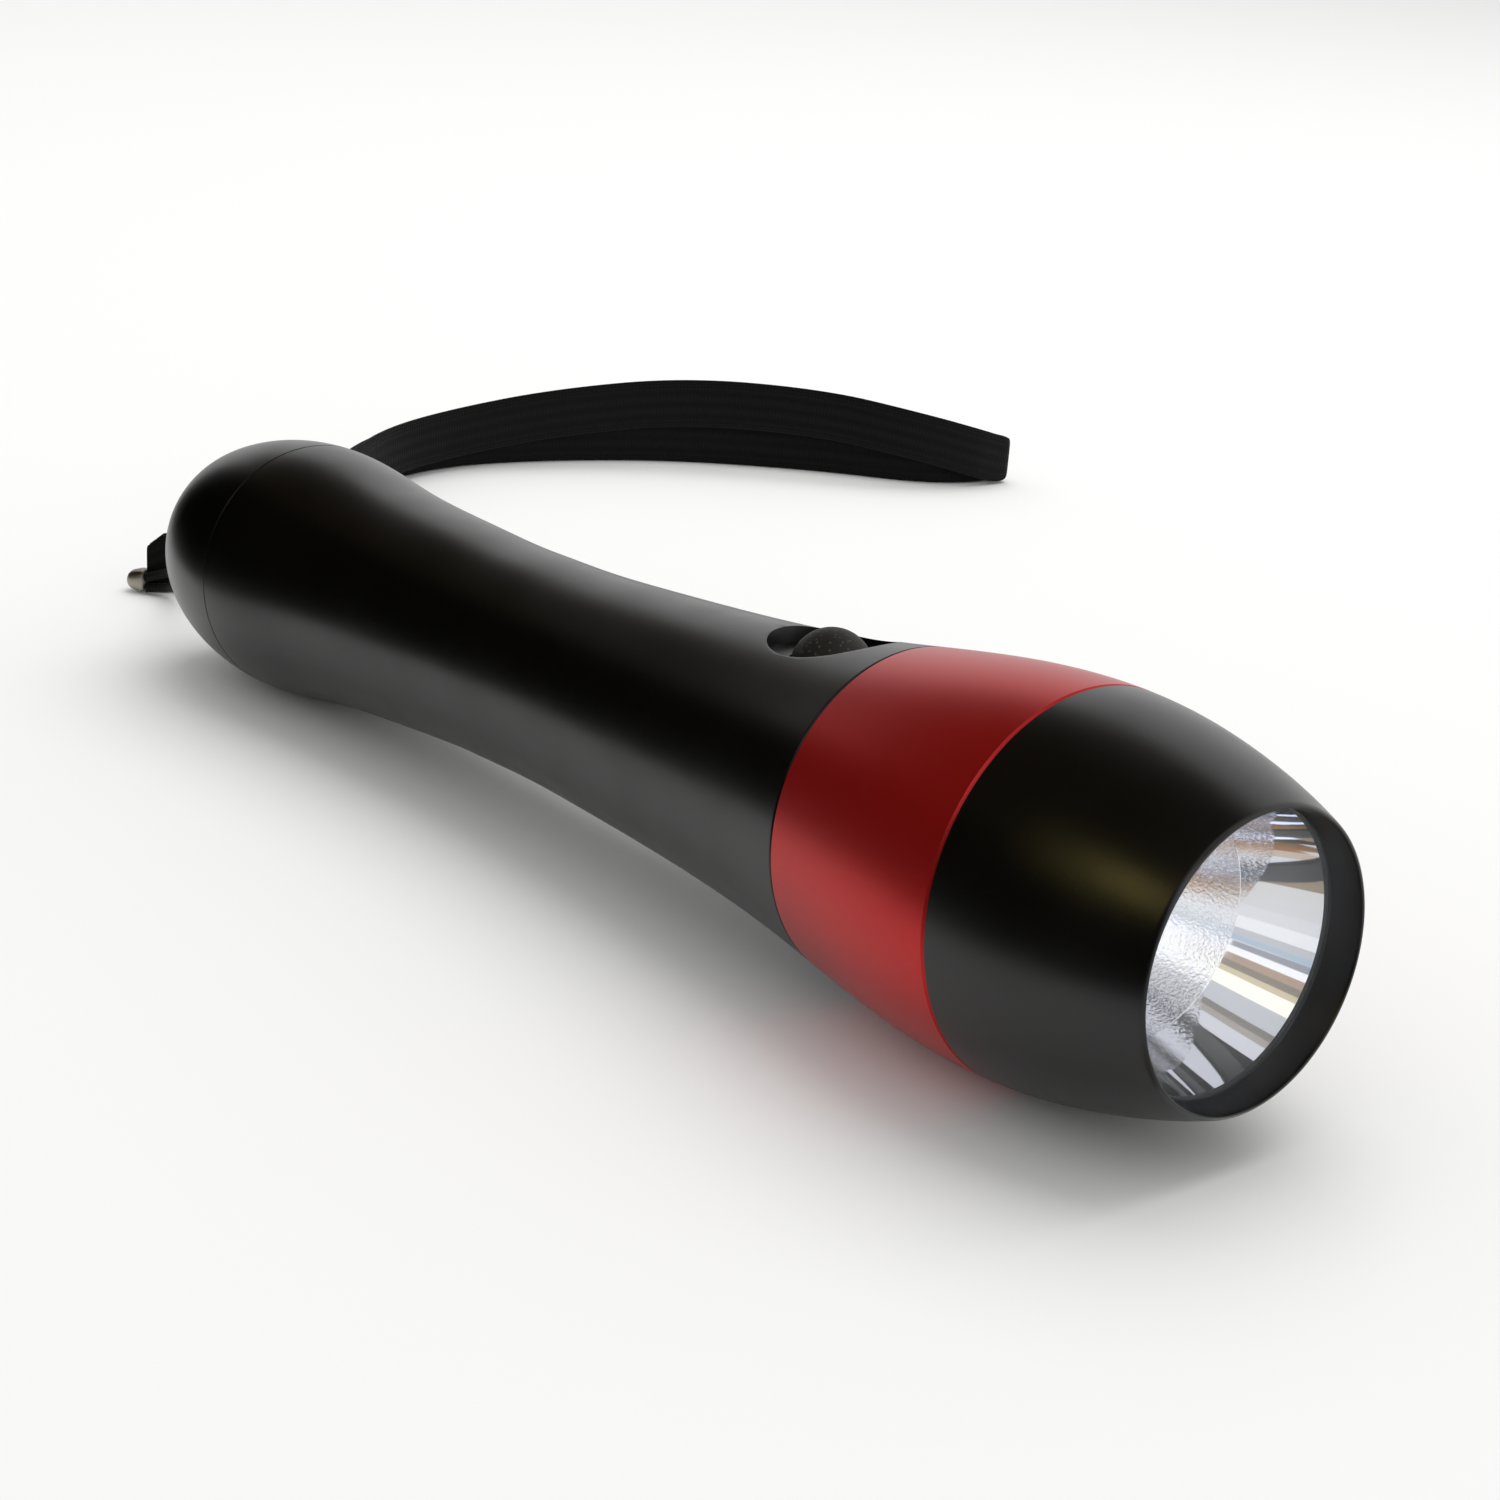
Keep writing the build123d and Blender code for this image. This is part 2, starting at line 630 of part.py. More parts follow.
def cell_spring(index):
    x0 = CARRIER_REAR_X + DISC_THICK - DISC_STEP + STRIP_THICK
    x1 = CELL_REAR_X - SPRING_SEAT
    y, z = cell_places()[index]
    return Pos(0, y, z) * coil(x0, x1, CELL_SPRING_R - 0.4, 1.6, CELL_SPRING_TURNS, CELL_SPRING_WIRE)


def carrier_rear_contact():
    return rod(CARRIER_REAR_X - STRIP_THICK, CARRIER_REAR_X, TAIL_SPRING_TIP_R + 1.6)


def carrier_nub():
    return rod(CARRIER_FRONT_X, CARRIER_FRONT_X + NUB_LENGTH, NUB_R)


# ---- switch ----
def front_spring():
    x0 = CARRIER_FRONT_X + NUB_LENGTH + SPRING_SEAT
    x1 = FRAME_REAR_X - STRIP_THICK - SPRING_SEAT
    return coil(x0, x1, FRONT_SPRING_R - 0.8, FRONT_SPRING_R, FRONT_SPRING_TURNS, FRONT_SPRING_WIRE)


def upright(r, z0, z1):
    """A cylinder along Z at the button."""
    return Pos(SWITCH_X, 0, z0) * Cylinder(r, z1 - z0, align=(Align.CENTER, Align.CENTER, Align.MIN))


def board_span():
    return SWITCH_X - BOARD_LENGTH / 2, SWITCH_X + BOARD_LENGTH / 2


def switch_frame():
    """Plastic sleeve in the bore that carries the switch board and clamps the boot's flange."""
    x1 = PILL_REAR_X - BOARD_GAP
    board_x0, board_x1 = board_span()
    body = rod(FRAME_REAR_X, x1, FRAME_R)
    body -= rod(FRAME_REAR_X + FRAME_END, x1 + 1, FRAME_INNER_R)
    shelf = rod(board_x0, board_x1, FRAME_INNER_R + 0.2)
    slab_z = -BOARD_THICK - BOARD_GAP - SHELF_DEPTH / 2
    shelf &= Pos(SWITCH_X, 0, slab_z) * Box(BOARD_LENGTH, 2 * FRAME_R, SHELF_DEPTH)
    body += shelf
    body -= upright(BOOT_R + BOARD_GAP, 0, REACH_R)
    body -= upright(BOOT_FLANGE_R + BOARD_GAP, 0, REACH_R) & tube(
        SWITCH_X - REACH_R, SWITCH_X + REACH_R, FLANGE_IN_R - BOARD_GAP, REACH_R
    )
    slot = Pos(FRAME_REAR_X + FRAME_END / 2, 0, strip_z()) * Box(
        FRAME_END + 2, LEAD_STRIP_WIDTH + 0.3, STRIP_THICK + 0.3
    )
    return body - slot


def strip_z():
    return STRIP_THICK / 2 + BUTT_GAP


def switch_board():
    x0, x1 = board_span()
    width = 2 * (FRAME_INNER_R - 0.4)
    return Pos((x0 + x1) / 2, 0, -BOARD_THICK / 2) * Box(x1 - x0, width, BOARD_THICK)


def switch_housing():
    h = HOUSING_TOP - BUTT_GAP
    body = Pos(SWITCH_X, 0, BUTT_GAP + h / 2) * Box(HOUSING_SIDE, HOUSING_SIDE, h)
    body = fillet(body.edges().filter_by(Axis.Z), 0.8)
    body -= upright(COLLAR_R + STEM_GAP, HOUSING_FLOOR, HOUSING_TOP - HOUSING_ROOF)
    return body - upright(STEM_R + STEM_GAP, HOUSING_FLOOR, HOUSING_TOP + 1)


def switch_plunger():
    """Button core under the rubber, its stem, and the collar that keeps it in the housing."""
    collar_top = HOUSING_TOP - HOUSING_ROOF - BUTT_GAP
    core_z = HOUSING_TOP + PRESS_TRAVEL + BUTT_GAP
    core_r = BOOT_R - BOOT_WALL - KEY_GAP
    crown_r = BOOT_SPHERE_R - BOOT_WALL - KEY_GAP
    crown = Pos(SWITCH_X, 0, BOOT_TOP_Z - BOOT_SPHERE_R) * Sphere(crown_r)
    core = upright(core_r, core_z, BOOT_TOP_Z - BOOT_SPHERE_R)
    core += crown & upright(core_r, core_z, BOOT_TOP_Z)
    collar = upright(COLLAR_R, collar_top - COLLAR_THICK, collar_top)
    return core + upright(STEM_R, collar_top - COLLAR_THICK, core_z + 0.1) + collar


def switch_spring():
    collar_low = HOUSING_TOP - HOUSING_ROOF - BUTT_GAP - COLLAR_THICK
    one = coil(
        HOUSING_FLOOR + SPRING_SEAT,
        collar_low - SPRING_SEAT,
        SWITCH_SPRING_R,
        SWITCH_SPRING_R,
        SWITCH_SPRING_TURNS,
        SWITCH_SPRING_WIRE,
    )
    return Pos(SWITCH_X, 0, 0) * Rot(0, -90, 0) * one


def switch_boot():
    """Rubber dome through the pocket floor, with a saddle flange under the barrel wall."""
    ball_z = BOOT_TOP_Z - BOOT_SPHERE_R
    shoulder_z = POCKET_FLOOR_Z + BOOT_SHOULDER
    outer = upright(BOOT_R, 0, shoulder_z)
    outer += Pos(SWITCH_X, 0, ball_z) * Sphere(BOOT_SPHERE_R) & upright(BOOT_R, shoulder_z, BOOT_TOP_Z + 1)
    inner_r = BOOT_R - BOOT_WALL
    inner = upright(inner_r, -1, ball_z)
    inner += Pos(SWITCH_X, 0, ball_z) * Sphere(BOOT_SPHERE_R - BOOT_WALL) & upright(inner_r, ball_z, REACH_R)
    span = (SWITCH_X - REACH_R, SWITCH_X + REACH_R)
    flange = upright(BOOT_FLANGE_R, 0, REACH_R) & tube(*span, FLANGE_IN_R, FLANGE_OUT_R)
    return outer + flange - inner - rod(*span, FLANGE_IN_R)


def switch_rear_strip():
    """Brass strip from the rivet at the rear of the frame, under no load, to the board."""
    x0 = FRAME_REAR_X - STRIP_THICK
    x1 = board_span()[0] + 2.0
    rivet = rod(x0, FRAME_REAR_X, RIVET_R)
    strip = Pos((x0 + x1) / 2, 0, strip_z()) * Box(x1 - x0, LEAD_STRIP_WIDTH, STRIP_THICK)
    return rivet + strip


def switch_front_strip():
    """Brass strip from the board to the driver's contact post."""
    x0 = board_span()[1] - 2.0
    x1 = PILL_REAR_X
    strip = Pos((x0 + x1) / 2, 0, strip_z()) * Box(x1 - x0, LEAD_STRIP_WIDTH, STRIP_THICK)
    tab = Pos(x1 - STRIP_THICK / 2, 0, 0) * Box(STRIP_THICK, LEAD_STRIP_WIDTH, 4.0)
    return strip + tab


# ---- rest pose ----
def rest_location():
    """Laid down on its tail bulge and head bulge, centred over the origin, button up."""
    tilt = math.degrees(math.atan2(HEAD_R - TAIL_R, RING_REAR_X + 0.861 * RING_LENGTH - CAP_SEAM_X))
    turned_up = Rot(0, -tilt, 0)
    box = (turned_up * OUTSIDE).bounding_box()
    return Pos(-box.center().X, 0, -box.min.Z) * turned_up


REST = rest_location()
TAIL_X = REST.position.X


# ---- wrist strap, made where it lies ----
def laid(points):
    return [(x + TAIL_X, y, z) for x, y, z in points]


def corner_radii(points):
    """Arc radius at each corner, as large as its two runs allow."""
    radii = []
    for a, b, c in zip(points, points[1:], points[2:]):
        run_in = Vector(*b) - Vector(*a)
        run_out = Vector(*c) - Vector(*b)
        half_turn = math.radians(run_in.get_angle(run_out) / 2)
        radii.append(0.45 * min(run_in.length, run_out.length) / math.tan(half_turn))
    return radii


def strap_webbing():
    """Woven band on edge: out along the table, folded at the far end, back a little higher."""
    points = laid(STRAP_ROUTE)
    radii = corner_radii(points)
    path = Wire(FilletPolyline(*points, radius=radii).edges())
    upright_guide = Wire((Pos(0, 0, STRAP_WIDTH) * path).edges())
    start = Plane(origin=path @ 0, x_dir=(0, 0, 1), z_dir=path % 0)
    band = sweep(start * Rectangle(STRAP_WIDTH, STRAP_THICK), path=path, binormal=upright_guide)
    print("webbing radii", [round(r, 1) for r in radii])
    print("webbing length", path.length, "volume share", band.volume / (path.length * STRAP_WIDTH * STRAP_THICK))
    return band


def strap_cord():
    """Thin cord from the crimp, round the pin in the tail, and back."""
    pin = (REST * Pos(PIN_SETBACK, 0, 0)).position
    reach = PIN_R + CORD_R + CORD_PIN_GAP
    round_pin = [(pin.X + a * reach, 0, pin.Z + b * reach) for a, b in ((-1, 1), (1, 1), (1, -1), (-1, -1))]
    points = laid(CORD_OUT) + round_pin + laid(CORD_BACK)
    radii = corner_radii(points)
    path = FilletPolyline(*points, radius=radii)
    start = Plane(origin=path @ 0, z_dir=path % 0)
    cord = sweep(start * Circle(CORD_R), path=path)
    print("cord radii", [round(r, 1) for r in radii])
    print("cord length", path.length, "volume share", cord.volume / (path.length * math.pi * CORD_R**2))
    return cord


def strap_crimp():
    x, y = CRIMP_CENTRE
    block = Box(CRIMP_LENGTH, CRIMP_WIDTH, CRIMP_HEIGHT, align=(Align.CENTER, Align.CENTER, Align.MIN))
    block = fillet(block.edges().filter_by(Axis.X), 0.8)
    return Pos(x + TAIL_X, y, 0.05) * Rot(0, 0, CRIMP_HEADING) * block


LAID = {
    "strap_cord": strap_cord,
    "strap_crimp": strap_crimp,
    "strap_webbing": strap_webbing,
}

RIGID = {
    "tail_cap": tail_cap,
    "tail_o_ring": tail_o_ring,
    "strap_pin": strap_pin,
    "tail_contact": tail_contact,
    "tail_spring": tail_spring,
    "barrel": barrel,
    "accent_ring": accent_ring,
    "bezel": bezel,
    "bezel_o_ring": bezel_o_ring,
    "lens": lens,
    "lens_gasket": lens_gasket,
    "reflector": reflector,
    "led_package": led_package,
    "led_phosphor": led_phosphor,
    "led_dome": led_dome,
    "led_star": led_star,
    "centring_ring": centring_ring,
    "led_pill": led_pill,
    "driver_board": driver_board,
    "driver_parts": driver_parts,
    "driver_contact": driver_contact,
    "led_leads": led_leads,
    "battery_1": lambda: battery(0),
    "battery_2": lambda: battery(1),
    "battery_3": lambda: battery(2),
    "carrier_rear_disc": carrier_rear_disc,
    "carrier_front_disc": carrier_front_disc,
    "carrier_spine": carrier_spine,
    "cell_plate_rear": cell_plate_rear,
    "cell_plate_front": cell_plate_front,
    "cell_spring_1": lambda: cell_spring(0),
    "cell_spring_2": lambda: cell_spring(1),
    "cell_spring_3": lambda: cell_spring(2),
    "carrier_rear_contact": carrier_rear_contact,
    "carrier_nub": carrier_nub,
    "front_spring": front_spring,
    "switch_frame": switch_frame,
    "switch_board": switch_board,
    "switch_housing": switch_housing,
    "switch_plunger": switch_plunger,
    "switch_spring": switch_spring,
    "switch_boot": switch_boot,
    "switch_rear_strip": switch_rear_strip,
    "switch_front_strip": switch_front_strip,
}

os.makedirs("parts", exist_ok=True)
for name, make in RIGID.items():
    export_step(REST * make(), "parts/" + name + ".step")
for name, make in LAID.items():
    export_step(make(), "parts/" + name + ".step")
print("tail tip at", REST.position, "axis tilt", REST.orientation)
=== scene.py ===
# %% [markdown]
# # An aluminium flashlight with a red ring and a wrist strap
#
# The torch is a stack of turned metal pieces: a tail cap, a waisted barrel, a red ring and a
# bezel, with a deep reflector at the front and a rubber button on top. A turned piece is the
# path of one half section about an axis, so most of this scene is half sections that are spun.
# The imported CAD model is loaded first: it says where every piece is, and it is never moved.

import json
import math

import bmesh
import bpy
from mathutils import Matrix, Vector


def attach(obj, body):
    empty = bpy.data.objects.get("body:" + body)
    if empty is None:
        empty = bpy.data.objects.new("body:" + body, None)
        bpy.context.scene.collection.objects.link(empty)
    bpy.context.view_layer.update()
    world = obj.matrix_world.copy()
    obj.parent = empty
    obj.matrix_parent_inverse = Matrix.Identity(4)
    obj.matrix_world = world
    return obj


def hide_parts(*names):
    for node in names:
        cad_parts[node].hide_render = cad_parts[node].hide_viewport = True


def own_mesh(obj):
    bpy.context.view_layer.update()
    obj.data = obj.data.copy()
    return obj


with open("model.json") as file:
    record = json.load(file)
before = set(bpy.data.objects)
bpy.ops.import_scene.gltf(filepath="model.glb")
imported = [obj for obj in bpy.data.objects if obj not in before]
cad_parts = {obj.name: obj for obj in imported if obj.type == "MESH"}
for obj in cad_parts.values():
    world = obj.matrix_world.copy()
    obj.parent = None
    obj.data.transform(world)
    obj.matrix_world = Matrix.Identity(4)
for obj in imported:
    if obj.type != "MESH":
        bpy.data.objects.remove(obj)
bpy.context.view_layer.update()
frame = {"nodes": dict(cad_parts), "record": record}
NODES = frame["nodes"]

# %% [markdown]
# ## The camera
#
# The photograph was taken from the front left, a little above the torch, with the camera rolled
# by about four degrees. The lens is longer than normal, so the torch shortens only gently.
# The camera is made before any piece, because every later decision is judged through it.

# %% Place the camera
MM = 0.001
sight = Vector((-0.70956464, 0.61936421, -0.33601488)).normalized()
right = sight.cross(Vector((0, 0, 1))).normalized()
roll = Matrix.Rotation(math.radians(4.379), 3, -sight)
right = roll @ right
up = right.cross(sight)
camera_data = bpy.data.cameras.new("camera")
camera_data.lens = 72.107
camera_data.sensor_width = 36
camera_data.shift_x = 0.00777
camera_data.shift_y = 0.01186
camera_data.clip_start = 0.01
camera = bpy.data.objects.new("camera", camera_data)
camera.matrix_world = Matrix.Translation((0.25334, -0.20603, 0.12849)) @ Matrix(
    (right, up, -sight)
).transposed().to_4x4()
bpy.context.scene.collection.objects.link(camera)
bpy.context.scene.camera = camera
print("camera at", tuple(camera.location))

# %% [markdown]
# ## Helpers for finishes
#
# A finish starts from its real colour, written as a hex value from a picture. Blender wants
# linear light, so one function converts it. Another adds a shader node with its settings and
# links in one line, which keeps each finish short enough to read.


# %% Colour and node helpers
def linear(hex_value, alpha=1.0):
    parts = [int(hex_value[i : i + 2], 16) / 255 for i in (1, 3, 5)]
    return (*[c / 12.92 if c <= 0.04045 else ((c + 0.055) / 1.055) ** 2.4 for c in parts], alpha)


def add(tree, kind, inputs=None, **settings):
    new = tree.nodes.new(kind)
    for key, value in settings.items():
        setattr(new, key, value)
    for key, value in (inputs or {}).items():
        if isinstance(value, bpy.types.NodeSocket):
            tree.links.new(value, new.inputs[key])
        else:
            new.inputs[key].default_value = value
    return new


def start_finish(name, **sockets):
    """A material with one Principled shader; sockets are set by name."""
    material = bpy.data.materials.new(name)
    material.use_nodes = True
    tree = material.node_tree
    tree.nodes.clear()
    shader = add(tree, "ShaderNodeBsdfPrincipled", {k.replace("_", " "): v for k, v in sockets.items()})
    add(tree, "ShaderNodeOutputMaterial", {"Surface": shader.outputs[0]})
    place = add(tree, "ShaderNodeTexCoord")
    return material, tree, shader, place.outputs["Object"]


# %% [markdown]
# ## Lying on the table
#
# Every turned piece is drawn along +X from the tail tip, in millimetres, and then laid down:
# tipped up by 1.8 degrees, because the head is fatter than the tail, and moved to its place.

# %% The torch's own axis
TILT = math.radians(1.80833)
TAIL_TIP = Vector((-92.5975, 0, 15.6701)) * MM
LAY_DOWN = Matrix.Translation(TAIL_TIP) @ Matrix.Rotation(-TILT, 4, "Y")
STEPS = 176


def show(mesh, name, finish, body, replaced=(), sharp=32):
    """Turn a finished mesh into a piece that rides on a body."""
    mesh.shade_smooth()
    mesh.set_sharp_from_angle(angle=math.radians(sharp))
    mesh.materials.append(finish)
    piece = bpy.data.objects.new(name, mesh)
    bpy.context.scene.collection.objects.link(piece)
    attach(piece, body)
    if replaced:
        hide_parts(*replaced)
    print(name, len(mesh.polygons), "faces")
    return piece


def spun(profile, closed=True, centre=(0, 0, 0), axis=(1, 0, 0), steps=STEPS):
    """A bmesh from (along, out) corners in millimetres, spun about an axis and laid down."""
    axis = Vector(axis)
    out = Vector((0, 0, 1)) if axis.x else Vector((1, 0, 0))
    centre = Vector(centre) * MM
    bm = bmesh.new()
    verts = [bm.verts.new(centre + (axis * a + out * r) * MM) for a, r in profile]
    pairs = list(zip(verts, verts[1:])) + ([(verts[-1], verts[0])] if closed else [])
    edges = [bm.edges.new(pair) for pair in pairs]
    bmesh.ops.spin(
        bm, geom=verts + edges, cent=centre, axis=axis, angle=math.tau, steps=steps, use_merge=True
    )
    bmesh.ops.remove_doubles(bm, verts=bm.verts, dist=1e-7)
    bmesh.ops.recalc_face_normals(bm, faces=bm.faces)
    bmesh.ops.transform(bm, matrix=LAY_DOWN, verts=bm.verts)
    return bm


def to_mesh(bm, name):
    mesh = bpy.data.meshes.new(name)
    bm.to_mesh(mesh)
    bm.free()
    return mesh


# %% [markdown]
# ## One outline from tail to rim
#
# The metal flows in one line through four pieces, so the line is drawn once, as a cubic curve
# through the radii that the photograph gives, and each piece takes its own stretch of it. A
# curve through points keeps the highlight unbroken where one piece meets the next.


# %% Outline
def curve_through(points, start, end, per_run=14):
    """Cubic curve through points with end slopes, spaced by chord length."""
    at = [0.0]
    for (x0, r0), (x1, r1) in zip(points, points[1:]):
        at.append(at[-1] + math.hypot(x1 - x0, r1 - r0))
    runs = [b - a for a, b in zip(at, at[1:])]
    sides = []
    for k in (0, 1):
        value = [p[k] for p in points]
        slope = [start[k]] + [0.0] * (len(points) - 2) + [end[k]]
        above, right_side = [0.0], [slope[0]]
        for i in range(1, len(points) - 1):
            a, b = runs[i], runs[i - 1]
            want = 3 * ((value[i] - value[i - 1]) * a / b + (value[i + 1] - value[i]) * b / a)
            low = 2 * (a + b) - a * above[-1]
            above.append(b / low)
            right_side.append((want - a * right_side[-1]) / low)
        for i in range(len(points) - 2, 0, -1):
            slope[i] = right_side[i] - above[i] * slope[i + 1]
        sides.append((value, slope))
    line = [points[0]]
    for i, run in enumerate(runs):
        for step in range(1, per_run + 1):
            t = step / per_run
            blend = (2 * t**3 - 3 * t**2 + 1, t**3 - 2 * t**2 + t, 3 * t**2 - 2 * t**3, t**3 - t**2)
            line.append(
                tuple(
                    blend[0] * v[i] + blend[1] * run * s[i] + blend[2] * v[i + 1] + blend[3] * run * s[i + 1]
                    for v, s in sides
                )
            )
    return line


CAP_SEAM, RING_REAR, RING_FRONT, FRONT = 22.0, 136.5, 161.7, 185.0
WAIST_R, TAIL_R, HEAD_R, RIM_R = 13.0584, 16.3584, 20.6584, 15.3584
WAIST_REAR, WAIST_FRONT = 68.151, 76.151
rear_run, front_run = WAIST_REAR - CAP_SEAM, RING_REAR - WAIST_FRONT
tail_line = curve_through(
    [
        (0, 6.2),
        (3.74, 0.70 * TAIL_R),
        (9.24, 0.868 * TAIL_R),
        (CAP_SEAM, TAIL_R),
        (CAP_SEAM + 0.325 * rear_run, WAIST_R + 1.7985),
        (CAP_SEAM + 0.725 * rear_run, WAIST_R + 0.4785),
        (WAIST_REAR, WAIST_R),
    ],
    (0, 1),
    (1, 0),
)
head_line = curve_through(
    [
        (WAIST_FRONT, WAIST_R),
        (WAIST_FRONT + 0.27 * front_run, WAIST_R + 0.6156),
        (WAIST_FRONT + 0.575 * front_run, WAIST_R + 1.8392),
        (RING_REAR - 0.115 * front_run, WAIST_R + 3.952),
        (RING_REAR + 11.4912, WAIST_R + 6.8628),
        (RING_REAR + 21.6972, HEAD_R),
        (RING_FRONT + 4.7998, HEAD_R - 0.4081),
        (RING_FRONT + 14.0965, HEAD_R - 2.1942),
        (FRONT, RIM_R),
    ],
    (1, 0),
    (1, -0.42),
)
OUTLINE = tail_line + head_line


def outline_at(x):
    for (x0, r0), (x1, r1) in zip(OUTLINE, OUTLINE[1:]):
        if x0 <= x <= x1 and x1 > x0:
            return r0 + (r1 - r0) * (x - x0) / (x1 - x0)
    return RIM_R


def stretch(x0, x1):
    """The outline between two places, with exact ends."""
    inside = [p for p in OUTLINE if x0 + 0.05 < p[0] < x1 - 0.05]
    return [(x0, outline_at(x0)), *inside, (x1, outline_at(x1))]


print("outline points", len(OUTLINE), "waist", WAIST_R, "head", max(r for _, r in OUTLINE))

# %% [markdown]
# ## Black anodised aluminium
#
# The black pieces are turned, blasted with fine beads and anodised. The dyed oxide is a clear
# hard layer over black, so it shines like a dielectric rather than a bare metal. Beads leave a
# grain of about 0.15 mm, drawn here at 0.3 mm so that it shows, and turning leaves faint rings.


# %% Anodised finishes
def blasted(tree, shader, place):
    """Bead-blast grain over faint turning rings, as bump; gives back a cloud for slow variation."""
    along = add(
        tree, "ShaderNodeMapping", {"Vector": place, "Rotation": (0, TILT, 0), "Scale": (1, 0.03, 0.03)}
    )
    lathe = add(
        tree, "ShaderNodeTexNoise", {"Vector": along.outputs[0], "Scale": 1 / (0.5 * MM), "Detail": 3.0}
    )
    bead = add(tree, "ShaderNodeTexNoise", {"Vector": place, "Scale": 1 / (0.3 * MM), "Detail": 2.0})
    ring_bump = add(
        tree, "ShaderNodeBump", {"Height": lathe.outputs["Fac"], "Strength": 0.35, "Distance": 0.01 * MM}
    )
    bead_bump = add(
        tree,
        "ShaderNodeBump",
        {
            "Height": bead.outputs["Fac"],
            "Strength": 0.25,
            "Distance": 0.02 * MM,
            "Normal": ring_bump.outputs[0],
        },
    )
    tree.links.new(bead_bump.outputs[0], shader.inputs["Normal"])
    return add(tree, "ShaderNodeTexNoise", {"Vector": place, "Scale": 1 / (9 * MM), "Detail": 4.0})


black_anodised, tree, shader, place = start_finish(
    "black_anodised_aluminium", Base_Color=linear("#060504"), Roughness=0.31, IOR=1.5
)
cloud = blasted(tree, shader, place)
rough = add(
    tree,
    "ShaderNodeMapRange",
    {"Value": cloud.outputs["Fac"], "From Min": 0.3, "From Max": 0.7, "To Min": 0.28, "To Max": 0.34},
)
tree.links.new(rough.outputs[0], shader.inputs["Roughness"])

red_anodised, tree, shader, place = start_finish(
    "red_anodised_aluminium",
    Base_Color=linear("#b40904"),
    Metallic=0.72,
    Roughness=0.38,
    Coat_Weight=0.3,
    Coat_Roughness=0.34,
)
cloud = blasted(tree, shader, place)
shade = add(
    tree,
    "ShaderNodeMix",
    {"Factor": cloud.outputs["Fac"], "A": linear("#ae0703"), "B": linear("#bb0b05")},
    data_type="RGBA",
)
tree.links.new(shade.outputs["Result"], shader.inputs["Base Color"])
print("finishes", black_anodised.name, red_anodised.name)

# %% [markdown]
# ## Screw threads
#
# The tail cap and the neck carry threads. They show only when the torch is opened, so rings of
# V section stand for the helix: they catch the light in the same way and spin with the rest.

# %% Thread profile
THREAD_PITCH, THREAD_DEPTH = 1.0, 0.45


def thread(x0, x1, r):
    """Corners of V rings cut into a radius, one a pitch."""
    line = []
    for i in range(int((x1 - x0) / THREAD_PITCH)):
        x = x0 + i * THREAD_PITCH
        line += [(x + 0.08, r), (x + 0.5, r - THREAD_DEPTH), (x + 0.92, r)]
    return line


# %% [markdown]
# ## Tail cap
#
# A domed plug with a recess for the strap in its tip, a threaded spigot and a groove for its
# O-ring. One closed half section from the recess floor, round the outside and back up the cavity.

# %% Tail cap
SPIGOT_R, SPIGOT_END, CAVITY_R, CAP_FLOOR = 12.408, 31.0, 10.2, 12.0
cap_profile = [
    (5.6, 0),
    (5.6, 4.6),
    (0.3, 4.6),
    (0.0, 4.95),
    *stretch(0.0, 21.86),
    (21.96, outline_at(21.96) - 0.1),
    (21.96, SPIGOT_R),
    *thread(22.8, 27.4, SPIGOT_R),
    (27.8, SPIGOT_R),
    (27.8, 10.85),
    (29.8, 10.85),
    (29.8, SPIGOT_R),
    (30.6, SPIGOT_R),
    (SPIGOT_END, 12.0),
    (SPIGOT_END, 10.4),
    (30.8, CAVITY_R),
    (CAP_FLOOR, CAVITY_R),
    (CAP_FLOOR, 0),
]
show(
    to_mesh(spun(cap_profile, closed=False), "tail_cap_shell"),
    "tail_cap_shell",
    black_anodised,
    "tail",
    ["tail_cap"],
)

# %% [markdown]
# ## Barrel
#
# The barrel is a long spun tube with a waist, a pocket milled into its top for the button, and
# a thin neck that carries the ring and the bezel. The pocket is an oval hole with a flat floor,
# so it is cut from the spun tube with a solid of that shape, and its edge gets a fine bevel.

# %% Barrel
BORE_R, NECK_R, NECK_BORE_R, NECK_END = 11.7084, 16.3584, 14.6584, 170.7
barrel_profile = [
    (22.04, outline_at(22.04) - 0.1),
    *stretch(22.14, 136.4),
    (RING_REAR, outline_at(RING_REAR) - 0.12),
    (RING_REAR, NECK_R),
    *thread(164.1, 170.1, NECK_R),
    (170.4, NECK_R),
    (NECK_END, NECK_R - 0.3),
    (NECK_END, NECK_BORE_R),
    (137.5, NECK_BORE_R),
    (137.5, BORE_R),
    (31.5, BORE_R),
    (31.5, SPIGOT_R + 0.1),
    (22.04, SPIGOT_R + 0.1),
]
SWITCH_X, POCKET_FLOOR, POCKET_HALF_X, POCKET_HALF_Y, CORE_BORE_R = 124.1, 13.5084, 7.9, 6.25, 4.7


